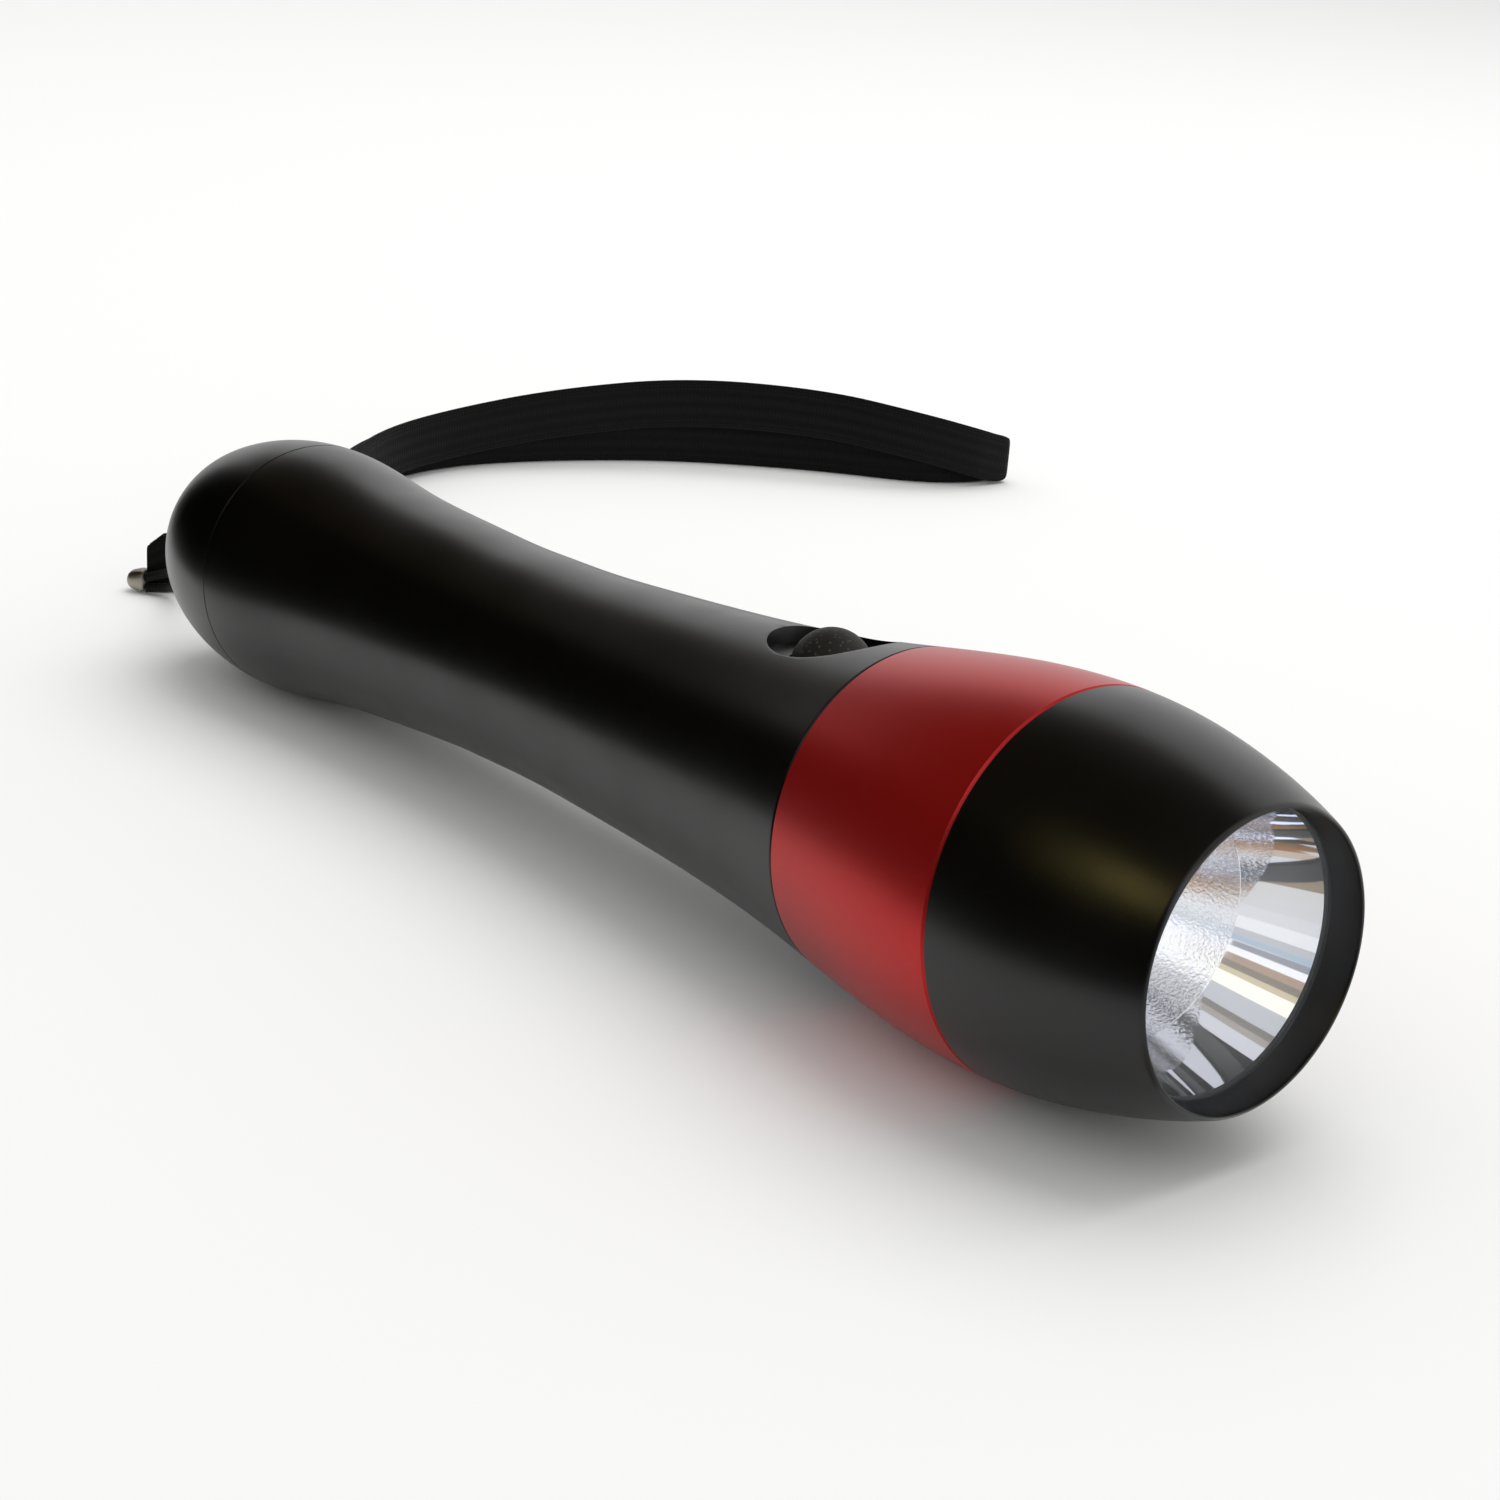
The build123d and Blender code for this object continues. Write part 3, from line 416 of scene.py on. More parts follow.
def upright_cutter(radius_x, radius_y, low, high, steps=96):
    """A closed oval prism standing on the torch's axis at the button."""
    bm = bmesh.new()
    bmesh.ops.create_circle(bm, cap_ends=True, segments=steps, radius=1.0)
    bmesh.ops.scale(bm, vec=(radius_x * MM, radius_y * MM, 1), verts=bm.verts)
    bmesh.ops.translate(bm, vec=(SWITCH_X * MM, 0, low * MM), verts=bm.verts)
    top = bmesh.ops.extrude_face_region(bm, geom=bm.faces[:])
    moved = [v for v in top["geom"] if isinstance(v, bmesh.types.BMVert)]
    bmesh.ops.translate(bm, vec=(0, 0, (high - low) * MM), verts=moved)
    bmesh.ops.recalc_face_normals(bm, faces=bm.faces)
    bmesh.ops.transform(bm, matrix=LAY_DOWN, verts=bm.verts)
    cutter = bpy.data.objects.new("cutter", to_mesh(bm, "cutter"))
    bpy.context.scene.collection.objects.link(cutter)
    return cutter


blank = bpy.data.objects.new("blank", to_mesh(spun(barrel_profile, steps=200), "blank"))
bpy.context.scene.collection.objects.link(blank)
cutters = [
    upright_cutter(POCKET_HALF_X, POCKET_HALF_Y, POCKET_FLOOR, 26),
    upright_cutter(CORE_BORE_R, CORE_BORE_R, 9.0, 25),
]
for cutter in cutters:
    cut = blank.modifiers.new("pocket", "BOOLEAN")
    cut.object = cutter
    cut.solver = "EXACT"
lip = blank.modifiers.new("lip", "BEVEL")
lip.width = 0.18 * MM
lip.segments = 2
lip.limit_method = "ANGLE"
lip.angle_limit = math.radians(50)
bpy.context.view_layer.update()
finished = blank.evaluated_get(bpy.context.evaluated_depsgraph_get())
cut_mesh = bpy.data.meshes.new_from_object(finished)
for leftover in [blank, *cutters]:
    bpy.data.objects.remove(leftover)
show(cut_mesh, "barrel_shell", black_anodised, "torch", ["barrel"])

# %% [markdown]
# ## Red ring and bezel
#
# The ring slides over the neck and the bezel screws down on it. Each has a fine chamfer at its
# seams, which shows as the thin dark line behind the ring and the bright one ahead of it.

# %% Red ring
ring_profile = [
    (136.62, outline_at(136.62) - 0.1),
    *stretch(136.72, 161.36),
    (161.66, outline_at(161.66) - 0.26),
    (161.66, NECK_R + 0.1),
    (136.62, NECK_R + 0.1),
]
show(
    to_mesh(spun(ring_profile), "accent_ring_sleeve"),
    "accent_ring_sleeve",
    red_anodised,
    "torch",
    ["accent_ring"],
)

# %% Bezel
THREAD_R, LENS_BORE_R, MOUTH_R = NECK_R + 0.1, 15.5, 14.7
bezel_profile = [
    (161.74, outline_at(161.74) - 0.12),
    *stretch(161.86, 184.5),
    (184.78, outline_at(184.78) - 0.02),
    (184.95, RIM_R - 0.12),
    (FRONT, RIM_R - 0.24),
    (184.93, RIM_R - 0.37),
    (184.72, RIM_R - 0.46),
    (181.9, MOUTH_R + 0.03),
    (181.7, MOUTH_R),
    (181.4, MOUTH_R),
    (181.4, LENS_BORE_R),
    (171.2, LENS_BORE_R),
    (171.2, THREAD_R),
    (164.4, THREAD_R),
    (164.4, 18.04),
    (162.4, 18.04),
    (162.4, THREAD_R),
    (161.74, THREAD_R),
]
show(
    to_mesh(spun(bezel_profile), "bezel_shell"),
    "bezel_shell",
    black_anodised,
    "bezel_group",
    ["bezel"],
)

# %% [markdown]
# ## Reflector
#
# A metallised plastic cup. Its outer zone is smooth and its inner zone has an orange-peel
# texture that evens out the beam, with a crisp ring between the two. The bowl is a parabola
# about the emitter, so it is drawn from its focal length.

# %% Reflector finish
RIDGE_R = 12.0
reflector_chrome, tree, shader, place = start_finish(
    "vacuum_metallised_reflector", Base_Color=linear("#f5f6f9"), Metallic=1.0, Roughness=0.03
)
local = add(tree, "ShaderNodeMapping", {"Vector": place, "Location": tuple(-TAIL_TIP)})
straight = add(tree, "ShaderNodeMapping", {"Vector": local.outputs[0], "Rotation": (0, TILT, 0)})
split = add(tree, "ShaderNodeSeparateXYZ", {"Vector": straight.outputs[0]})
flat = add(tree, "ShaderNodeCombineXYZ", {"X": split.outputs["Y"], "Y": split.outputs["Z"]})
away = add(tree, "ShaderNodeVectorMath", {0: flat.outputs[0]}, operation="LENGTH")
inside = add(tree, "ShaderNodeMath", {0: away.outputs["Value"], 1: RIDGE_R * MM}, operation="LESS_THAN")
peel = add(tree, "ShaderNodeTexNoise", {"Vector": place, "Scale": 1 / (0.34 * MM), "Detail": 2.0})
peel_bump = add(
    tree,
    "ShaderNodeBump",
    {"Height": peel.outputs["Fac"], "Distance": 0.034 * MM, "Strength": inside.outputs[0]},
)
tree.links.new(peel_bump.outputs[0], shader.inputs["Normal"])

# %% Reflector
FOCAL, VERTEX, CUP_FRONT, HOLE_R = 2.08, 154.925, 180.5, 3.6
CUP_R = math.sqrt(4 * FOCAL * (CUP_FRONT - VERTEX))


def bowl(r0, r1, count, inset=0.0):
    radii = [r0 + (r1 - r0) * i / count for i in range(count + 1)]
    return [(VERTEX + r * r / (4 * FOCAL), r - inset) for r in radii]


cup_profile = [
    *bowl(HOLE_R, RIDGE_R, 30, 0.06),
    *bowl(RIDGE_R, CUP_R, 12),
    (CUP_FRONT, 15.4),
    (179.3, 15.4),
    (179.3, 15.0),
    *reversed(bowl(HOLE_R, CUP_R - 0.6, 12, -1.2)),
]
show(
    to_mesh(spun(cup_profile), "reflector_cup"),
    "reflector_cup",
    reflector_chrome,
    "torch",
    ["reflector"],
    sharp=25,
)

# %% [markdown]
# ## Lens
#
# A flat disc of clear polycarbonate. Light passes straight through it, so it is mostly a
# transparent shader with the thin film of reflection that any clear plastic shows.

# %% Lens
lens_clear, *_ = start_finish(
    "clear_polycarbonate", Base_Color=linear("#f4f8fa"), Roughness=0.02, IOR=1.58, Alpha=0.06
)
lens_profile = [(180.55, 0), (180.55, 15.3), (180.65, 15.4), (181.05, 15.4), (181.15, 15.3), (181.15, 0)]
show(
    to_mesh(spun(lens_profile, closed=False), "lens_disc"),
    "lens_disc",
    lens_clear,
    "bezel_group",
    ["lens"],
)

# %% Lens gasket
gasket_rubber, *_ = start_finish("gasket_rubber", Base_Color=linear("#0c0c0c"), Roughness=0.6)
gasket_profile = [(181.2, 14.85), (181.36, 14.85), (181.36, 15.4), (181.2, 15.4)]
show(
    to_mesh(spun(gasket_profile), "gasket_ring"),
    "gasket_ring",
    gasket_rubber,
    "bezel_group",
    ["lens_gasket"],
)

# %% [markdown]
# ## Rubber button
#
# Moulded silicone, matt and dark grey, with a little dust on it. It is a hollow dome over the
# switch's core, which flattens when the button is pressed; here it is drawn at rest.

# %% Button finish
button_rubber, tree, shader, place = start_finish(
    "moulded_silicone_rubber", Base_Color=linear("#1c1b1a"), Roughness=0.62, IOR=1.45
)
grit = add(tree, "ShaderNodeTexNoise", {"Vector": place, "Scale": 1 / (0.35 * MM), "Detail": 4.0})
skin = add(tree, "ShaderNodeBump", {"Height": grit.outputs["Fac"], "Strength": 0.5, "Distance": 0.03 * MM})
tree.links.new(skin.outputs[0], shader.inputs["Normal"])
dust = add(tree, "ShaderNodeTexVoronoi", {"Vector": place, "Scale": 1 / (0.55 * MM)})
speck = add(
    tree,
    "ShaderNodeMapRange",
    {"Value": dust.outputs["Distance"], "From Min": 0.1, "From Max": 0.3, "To Min": 0.8, "To Max": 0.0},
)
tone = add(
    tree,
    "ShaderNodeMix",
    {"Factor": speck.outputs[0], "A": linear("#1c1a17"), "B": linear("#4d483f")},
    data_type="RGBA",
)
tree.links.new(tone.outputs["Result"], shader.inputs["Base Color"])

# %% Button
DOME_R, DOME_EDGE, DOME_TOP = 4.4, 13.6584, 17.1584
DOME_HEIGHT = 3.5
ball_r = (DOME_R**2 + DOME_HEIGHT**2) / (2 * DOME_HEIGHT)
ball_z = DOME_TOP - ball_r


def dome(radius, edge_r, count):
    first = math.asin(min(1.0, edge_r / radius))
    angles = [first * (1 - i / count) for i in range(count + 1)]
    return [(ball_z + radius * math.cos(a), radius * math.sin(a)) for a in angles]


outer_dome = dome(ball_r, DOME_R, 20)
inner_dome = dome(ball_r - 1.2, 3.2, 14)
button_profile = [
    (10.9, 3.2),
    (10.9, 6.0),
    (11.3, 6.0),
    (11.9, 4.6),
    (13.0, DOME_R),
    *outer_dome,
    *reversed(inner_dome),
]
button = show(
    to_mesh(spun(button_profile, centre=(SWITCH_X, 0, 0), axis=(0, 0, 1), steps=96), "button_dome"),
    "button_dome",
    button_rubber,
    "torch",
    ["switch_boot"],
)
button_up = (LAY_DOWN.to_3x3() @ Vector((0, 0, 1))).normalized()
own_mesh(button)

# %% [markdown]
# ## The spring under the plunger
#
# A coil of wire that shortens as the button goes down. Its CAD mesh is copied and merged,
# and the copy is drawn at rest in place of it.

# %% Switch spring
bm = bmesh.new()
bm.from_mesh(NODES["switch_spring"].data)
bmesh.ops.remove_doubles(bm, verts=bm.verts, dist=1e-7)
heights = [v.co.dot(button_up) for v in bm.verts]
spring_wire, *_ = start_finish(
    "plated_switch_spring", Base_Color=linear("#b9b8b2"), Metallic=1.0, Roughness=0.28
)
spring = show(
    to_mesh(bm, "switch_coil"),
    "switch_coil",
    spring_wire,
    "torch",
    ["switch_spring"],
    sharp=45,
)
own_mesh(spring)

# %% [markdown]
# ## Wrist strap
#
# The strap is one loop of black woven webbing on edge, 8.4 mm wide. Its two layers come out of
# a small metal crimp, run side by side behind the tail, and meet in a fold at the far end. The
# nearer layer stands up off the table. A thin cord ties the crimp to a pin inside the tail.
# The route is a list of places that the band bends at, and a smooth curve runs along it.

# %% Strap routes
STRAP_ROUTE = [
    (-119.08, 3.09, 4.25),
    (-116.78, 5.73, 4.25),
    (-117.4, 12.2, 4.25),
    (-121.5, 21.0, 4.25),
    (-131.5, 34.5, 4.25),
    (-143.5, 49.5, 4.25),
    (-156.5, 66.0, 4.25),
    (-161.0, 84.0, 4.25),
    (-157.0, 103.5, 4.25),
    (-147.6, 124.5, 4.25),
    (-131.5, 143.4, 4.25),
    (-118.2, 154.0, 4.25),
    (-114.2, 162.0, 4.25),
    (-113.7, 166.6, 4.25),
    (-113.6, 169.8, 4.25),
    (-111.1, 169.8, 4.25),
    (-111.2, 166.6, 4.6),
    (-111.7, 161.0, 6.4),
    (-116.4, 151.8, 9.0),
    (-129.2, 141.0, 11.2),
    (-145.4, 123.2, 11.4),
    (-154.8, 102.7, 9.1),
    (-159.0, 84.2, 6.4),
    (-154.6, 67.0, 5.6),
    (-140.8, 50.5, 6.0),
    (-127.6, 36.0, 6.0),
    (-118.2, 21.5, 5.4),
    (-115.0, 12.0, 4.7),
    (-115.73, 4.81, 4.3),
    (-118.03, 2.17, 4.25),
]
CORD_ROUTE = [
    (-116.8, 1.22, 2.55),
    (-114.88, 3.42, 3.3),
    (-110.1, 2.9, 5.6),
    (-102.8, 1.2, 11.0),
    (-97.0, 0.2, 15.6),
    (-91.95, 0, 17.39),
    (-88.65, 0, 17.39),
    (-88.65, 0, 14.09),
    (-91.95, 0, 14.09),
    (-96.8, -0.1, 12.2),
    (-102.6, 0.9, 8.0),
    (-109.9, 2.5, 2.9),
    (-114.88, 3.42, 1.2),
    (-116.8, 1.22, 0.95),
]


def smooth_route(route, name):
    """A NURBS curve object along a route in millimetres."""
    data = bpy.data.curves.new(name, "CURVE")
    data.dimensions = "3D"
    spline = data.splines.new("NURBS")
    spline.points.add(len(route) - 1)
    for point, (x, y, z) in zip(spline.points, route):
        point.co = (x * MM, y * MM, z * MM, 1)
    spline.order_u = 3
    spline.use_endpoint_u = True
    spline.resolution_u = 10
    curve = bpy.data.objects.new(name, data)
    bpy.context.scene.collection.objects.link(curve)
    return curve


def points_on(curve):
    """The places along a curve object that has no thickness."""
    mesh = bpy.data.meshes.new_from_object(curve)
    points = [v.co.copy() for v in mesh.vertices]
    bpy.data.meshes.remove(mesh)
    return points


# %% [markdown]
# ## Woven webbing
#
# Polyamide webbing is matt, and close to black. Its warp makes ribs along the band, about a
# millimetre apart, and its weft makes finer picks across it. Both are waves on the band's own
# map, whose units are metres along and across, so they follow every bend.

# %% Webbing finish
# A wave texture of scale 1 has 20 / tau waves in a unit.
RIB_SPACING, PICK_SPACING, WAVES_PER_UNIT = 0.95 * MM, 0.6 * MM, 20 / math.tau
webbing_black, tree, shader, _ = start_finish(
    "woven_polyamide_webbing",
    Base_Color=linear("#060607"),
    Roughness=0.85,
    IOR=1.3,
    Sheen_Weight=0.03,
    Sheen_Roughness=0.4,
)
weave = add(tree, "ShaderNodeUVMap", uv_map="weave")
across = add(tree, "ShaderNodeMapping", {"Vector": weave.outputs[0], "Rotation": (0, 0, math.pi / 2)})
ribs = add(
    tree,
    "ShaderNodeTexWave",
    {"Vector": across.outputs[0], "Scale": 1 / (WAVES_PER_UNIT * RIB_SPACING), "Distortion": 0.4},
)
picks = add(
    tree,
    "ShaderNodeTexWave",
    {"Vector": weave.outputs[0], "Scale": 1 / (WAVES_PER_UNIT * PICK_SPACING), "Distortion": 0.8},
)
cloth = add(
    tree, "ShaderNodeMath", {0: ribs.outputs["Fac"], 1: picks.outputs["Fac"]}, operation="MULTIPLY"
)
cloth_bump = add(
    tree, "ShaderNodeBump", {"Height": cloth.outputs[0], "Strength": 0.8, "Distance": 0.12 * MM}
)
tree.links.new(cloth_bump.outputs[0], shader.inputs["Normal"])
# Painted shade: the webbing's colour is darker in the grooves between the ribs and lighter on the rib tops,
# following the rib wave.
rib_painted_shade = add(
    tree,
    "ShaderNodeMix",
    {"Factor": ribs.outputs["Fac"], "A": linear("#020202"), "B": linear("#0b0b0c")},
    data_type="RGBA",
)
tree.links.new(rib_painted_shade.outputs["Result"], shader.inputs["Base Color"])

# %% Webbing along its route
WEB_WIDTH, WEB_THICK, WEB_SIDES = 8.4 * MM, 1.3 * MM, 20
guide = smooth_route(STRAP_ROUTE, "guide")
centre = points_on(guide)
bpy.data.objects.remove(guide)
walked = [0.0]
for a, b in zip(centre, centre[1:]):
    walked.append(walked[-1] + (b - a).length)
whole = walked[-1]
fold_at = walked[max(range(len(centre)), key=lambda i: centre[i].y)]
print("webbing length", whole, "points", len(centre), "fold at", fold_at)

# %% Where the band draws in
PINCHED, PINCH_LENGTH = 0.8, 2.0 * MM
FOLD_DRAWN, FOLD_LENGTH = 0.17, 2.0 * MM
CRIMP_MIDDLE, CRIMP_PULL = 1.85 * MM, 0.60


def gathered(distance):
    """Share of full width: the band is pinched into the crimp at both of its ends."""
    near = min(distance, whole - distance) / PINCH_LENGTH
    return PINCHED + (1 - PINCHED) * min(1.0, near)


def folded(distance):
    """Share of width at the far fold, where the doubled edges draw in a little."""
    from_fold = (distance - fold_at) / FOLD_LENGTH
    return 1 - FOLD_DRAWN * math.exp(-from_fold * from_fold)


# %% Webbing
# Powers below one square off the ellipse of the section.
TALL_POWER, WIDE_POWER = 0.35, 0.55
bm = bmesh.new()
uv = bm.loops.layers.uv.new("weave")
rings = []
for i, middle in enumerate(centre):
    ahead = (centre[min(i + 1, len(centre) - 1)] - centre[max(i - 1, 0)]).normalized()
    side = ahead.cross(Vector((0, 0, 1))).normalized()
    high = side.cross(ahead).normalized()
    share = gathered(walked[i])
    half = WEB_WIDTH / 2 * share * folded(walked[i])
    middle = middle - Vector((0, 0, (1 - share) * (middle.z - CRIMP_MIDDLE) / CRIMP_PULL))
    ring_verts = []
    for k in range(WEB_SIDES):
        angle = math.tau * k / WEB_SIDES
        c, s = math.cos(angle), math.sin(angle)
        tall = math.copysign(abs(c) ** TALL_POWER, c) * half
        wide = math.copysign(abs(s) ** WIDE_POWER, s) * WEB_THICK / 2
        ring_verts.append(bm.verts.new(middle + high * tall + side * wide))
    rings.append(ring_verts)
for i, (low, top) in enumerate(zip(rings, rings[1:])):
    for k in range(WEB_SIDES):
        n = (k + 1) % WEB_SIDES
        face = bm.faces.new((low[k], low[n], top[n], top[k]))
        heights = [math.cos(math.tau * j / WEB_SIDES) * WEB_WIDTH / 2 for j in (k, k + 1, k + 1, k)]
        along = [walked[i], walked[i], walked[i + 1], walked[i + 1]]
        for loop, u, v in zip(face.loops, along, heights):
            loop[uv].uv = (u, v)
bm.faces.new(reversed(rings[0]))
bm.faces.new(rings[-1])
bmesh.ops.recalc_face_normals(bm, faces=bm.faces)
band = show(
    to_mesh(bm, "webbing_band"),
    "webbing_band",
    webbing_black,
    "tail",
    ["strap_webbing"],
    sharp=60,
)

# %% [markdown]
# ## Cord and crimp
#
# The cord is braided and round, so a curve with a round bevel is enough. The crimp is a folded
# scrap of nickelled brass squeezed over the ends of the webbing: a block with soft edges and a
# rounded nose, whose skin is slightly uneven from the tool.

# %% Cord
braided_cord, tree, shader, place = start_finish(
    "braided_polyamide_cord", Base_Color=linear("#070707"), Roughness=0.8, IOR=1.35, Sheen_Weight=0.04
)
strands = add(tree, "ShaderNodeTexVoronoi", {"Vector": place, "Scale": 1 / (0.4 * MM)}, feature="SMOOTH_F1")
braid = add(
    tree, "ShaderNodeBump", {"Height": strands.outputs["Distance"], "Strength": 0.7, "Distance": 0.1 * MM}
)
tree.links.new(braid.outputs[0], shader.inputs["Normal"])
cord = smooth_route(CORD_ROUTE, "cord_loop")
cord.data.bevel_depth = 0.65 * MM
cord.data.bevel_resolution = 4
cord.data.use_fill_caps = True
cord.data.materials.append(braided_cord)
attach(cord, "tail")
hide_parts("strap_cord")
cord_line = smooth_route(CORD_ROUTE, "cord_line")
cord_points = points_on(cord_line)
bpy.data.objects.remove(cord_line)

# %% Crimp
crimp_nickel, tree, shader, place = start_finish(
    "nickel_plated_crimp", Base_Color=linear("#aaa49a"), Metallic=1.0, Roughness=0.48
)
worn = add(tree, "ShaderNodeTexNoise", {"Vector": place, "Scale": 1 / (0.6 * MM), "Detail": 3.0})
dents = add(tree, "ShaderNodeBump", {"Height": worn.outputs["Fac"], "Strength": 0.4, "Distance": 0.06 * MM})
tree.links.new(dents.outputs[0], shader.inputs["Normal"])
CRIMP_SIZE = (2.9 * MM, 4.2 * MM, 3.4 * MM)
CRIMP_AT, CRIMP_TURN = (-118.9 * MM, 1.0 * MM, 1.75 * MM), math.radians(48.9)
NOSE_SHARE = (1, 0.6, 0.66)
bm = bmesh.new()
bmesh.ops.create_cube(bm, size=1.0)
bmesh.ops.scale(bm, vec=CRIMP_SIZE, verts=bm.verts)
bmesh.ops.scale(bm, vec=NOSE_SHARE, verts=[v for v in bm.verts if v.co.x < 0])
bmesh.ops.bevel(
    bm, geom=bm.edges[:], offset=1.0 * MM, segments=5, affect="EDGES", profile=0.5, material=-1
)
bmesh.ops.rotate(bm, matrix=Matrix.Rotation(CRIMP_TURN, 3, "Z"), verts=bm.verts)
bmesh.ops.translate(bm, vec=CRIMP_AT, verts=bm.verts)
bmesh.ops.recalc_face_normals(bm, faces=bm.faces)
crimp = show(
    to_mesh(bm, "crimp_clip"),
    "crimp_clip",
    crimp_nickel,
    "tail",
    ["strap_crimp"],
    sharp=60,
)

# %% [markdown]
# ## Finishes of the pieces inside
#
# These show when the tail cap or the bezel is off. They keep their CAD shapes, and each gets
# the finish of what it is made of: nickelled wire, brass, moulded plastic, lacquered steel.

# %% Inner finishes
# Slot: finish, colour, metallic, roughness, grain in millimetres.
INNER = {
    "spring_steel": ("nickel_plated_spring_wire", "#b9b8b2", 1.0, 0.28, 0.4),
    "contact_brass": ("stamped_brass", "#b8994e", 1.0, 0.34, 0.6),
    "pin_steel": ("ground_steel_pin", "#a9a9a9", 1.0, 0.3, 0.3),
    "carrier_plastic": ("moulded_abs_black", "#171717", 0.0, 0.5, 0.5),
    "cell_jacket": ("lacquered_cell_can", "#33383d", 0.6, 0.32, 2.0),
    "switch_plastic": ("moulded_polyamide_natural", "#cfcbbf", 0.0, 0.5, 0.5),
    "board_green": ("solder_mask_green", "#12502b", 0.0, 0.35, 0.8),
    "driver_black": ("moulded_epoxy", "#1d1d1f", 0.0, 0.5, 0.4),
    "star_white": ("white_solder_mask", "#e6e6e2", 0.0, 0.4, 0.6),
    "led_ceramic": ("alumina_ceramic", "#efeee8", 0.0, 0.45, 0.3),
    "led_yellow": ("yellow_phosphor", "#e8c21c", 0.0, 0.7, 0.2),
    "ring_white": ("moulded_polyester_white", "#e4e2dc", 0.0, 0.5, 0.4),
    "pill_metal": ("turned_bare_aluminium", "#bcbcbc", 1.0, 0.33, 0.5),
    "lead_red": ("silicone_wire_jacket", "#9a1713", 0.0, 0.5, 0.3),
    "seal_rubber": ("nitrile_rubber", "#121212", 0.0, 0.55, 0.3),
}
finishes = {}
for slot_name, (name, colour, metallic, roughness, grain) in INNER.items():
    finish, tree, shader, place = start_finish(
        name, Base_Color=linear(colour), Metallic=metallic, Roughness=roughness
    )
    speckle = add(
        tree, "ShaderNodeTexNoise", {"Vector": place, "Scale": 1 / (grain * MM), "Detail": 3.0}
    )
    bump = add(
        tree, "ShaderNodeBump", {"Height": speckle.outputs["Fac"], "Strength": 0.3, "Distance": 0.02 * MM}
    )
    tree.links.new(bump.outputs[0], shader.inputs["Normal"])
    spread = add(
        tree,
        "ShaderNodeMapRange",
        {
            "Value": speckle.outputs["Fac"],
            "From Min": 0.3,
            "From Max": 0.7,
            "To Min": roughness * 0.85,
            "To Max": roughness * 1.2,
        },
    )
    tree.links.new(spread.outputs[0], shader.inputs["Roughness"])
    finishes[slot_name] = finish
finishes["led_silicone"], *_ = start_finish(
    "clear_silicone_dome", Base_Color=linear("#f6f4e6"), Roughness=0.05, IOR=1.41, Alpha=0.25
)

# %% Give them to the CAD pieces
for sub in frame["record"]["subparts"]:
    finish = finishes.get(sub["material_slot"])
    if finish and sub["node"] in NODES:
        mesh = NODES[sub["node"]].data
        mesh.materials.clear()
        mesh.materials.append(finish)
print("inner finishes", len(finishes))

# %% [markdown]
# ## Table, light and surroundings
#
# A pale table in a white room, with one large soft light above. A dark shiny torch shows mostly
# what surrounds it: the table in its lower third, the bright room along its upper edge, and
# something dim in the band between. That dimness comes from dark cards, as a studio sets them
# up, and a few bright cards give it its highlights. They show in reflections alone.

# %% Table
TABLE_HALF = 6.0
bm = bmesh.new()
bmesh.ops.create_grid(bm, x_segments=1, y_segments=1, size=TABLE_HALF)
table_mesh = to_mesh(bm, "table")
table_white = bpy.data.materials.new("white_laminate")
table_white.use_nodes = True
table_shader = table_white.node_tree.nodes["Principled BSDF"]
table_shader.inputs["Base Color"].default_value = linear("#f4f4f3")
table_shader.inputs["Roughness"].default_value = 0.9
table_shader.inputs["Specular IOR Level"].default_value = 0.0
table_mesh.materials.append(table_white)
floor = bpy.data.objects.new("table", table_mesh)
bpy.context.scene.collection.objects.link(floor)
print("table", 2 * TABLE_HALF, "m across")


# %% Cards
def card(name, size, location, facing, colour, strength):
    """A flat glowing or dark card that only reflections show, turned to face a point."""
    bm = bmesh.new()
    bmesh.ops.create_grid(bm, x_segments=1, y_segments=1, size=0.5)
    bmesh.ops.scale(bm, vec=(size[0], size[1], 1), verts=bm.verts)
    turn = (Vector(facing) - Vector(location)).to_track_quat("Z", "Y").to_matrix().to_4x4()
    bmesh.ops.transform(bm, matrix=Matrix.Translation(location) @ turn, verts=bm.verts)
    glowing_sheet(bm, name, colour, strength)


def glowing_sheet(bm, name, colour, strength):
    """A sheet that glows evenly, seen in reflections alone."""
    mesh = to_mesh(bm, name)
    material = bpy.data.materials.new(name + "_glow")
    material.use_nodes = True
    material.node_tree.nodes.clear()
    glow = add(material.node_tree, "ShaderNodeEmission", {"Color": linear(colour), "Strength": strength})
    add(material.node_tree, "ShaderNodeOutputMaterial", {"Surface": glow.outputs[0]})
    mesh.materials.append(material)
    sheet = bpy.data.objects.new(name, mesh)
    bpy.context.scene.collection.objects.link(sheet)
    sheet.visible_camera = False
    sheet.visible_diffuse = False
    sheet.visible_shadow = False


# Size, place and aim in metres, colour, strength.
card("ceiling", (5.0, 4.0), (0.0, -1.35, 1.0), (0.0, -1.35, 0.0), "#3b3020", 1.0)
card("side_flag", (0.42, 0.085), (-0.075, -0.062, 0.0425), (-0.03, 0.03, 0.0425), "#050403", 1.0)
card("front_flag", (0.18, 0.05), (0.09, -0.066, 0.025), (0.08, 0.0, 0.025), "#050403", 1.0)
card("far_flag", (3.0, 0.9), (-0.2, -1.2, 0.45), (0.0, 0.0, 0.45), "#0c0905", 1.0)
card("warm_window", (0.16, 0.16), (0.07, -0.42, 0.36), (0.09, 0.0, 0.02), "#ffe98f", 2.2)
card("front_light", (0.35, 0.35), (0.54, -0.25, 0.47), (0.08, 0.0, 0.02), "#e4ebff", 1.7)
card("bright_front", (0.7, 0.5), (0.9, 0.1, 0.33), (0.09, 0.0, 0.02), "#ffffff", 1.6)

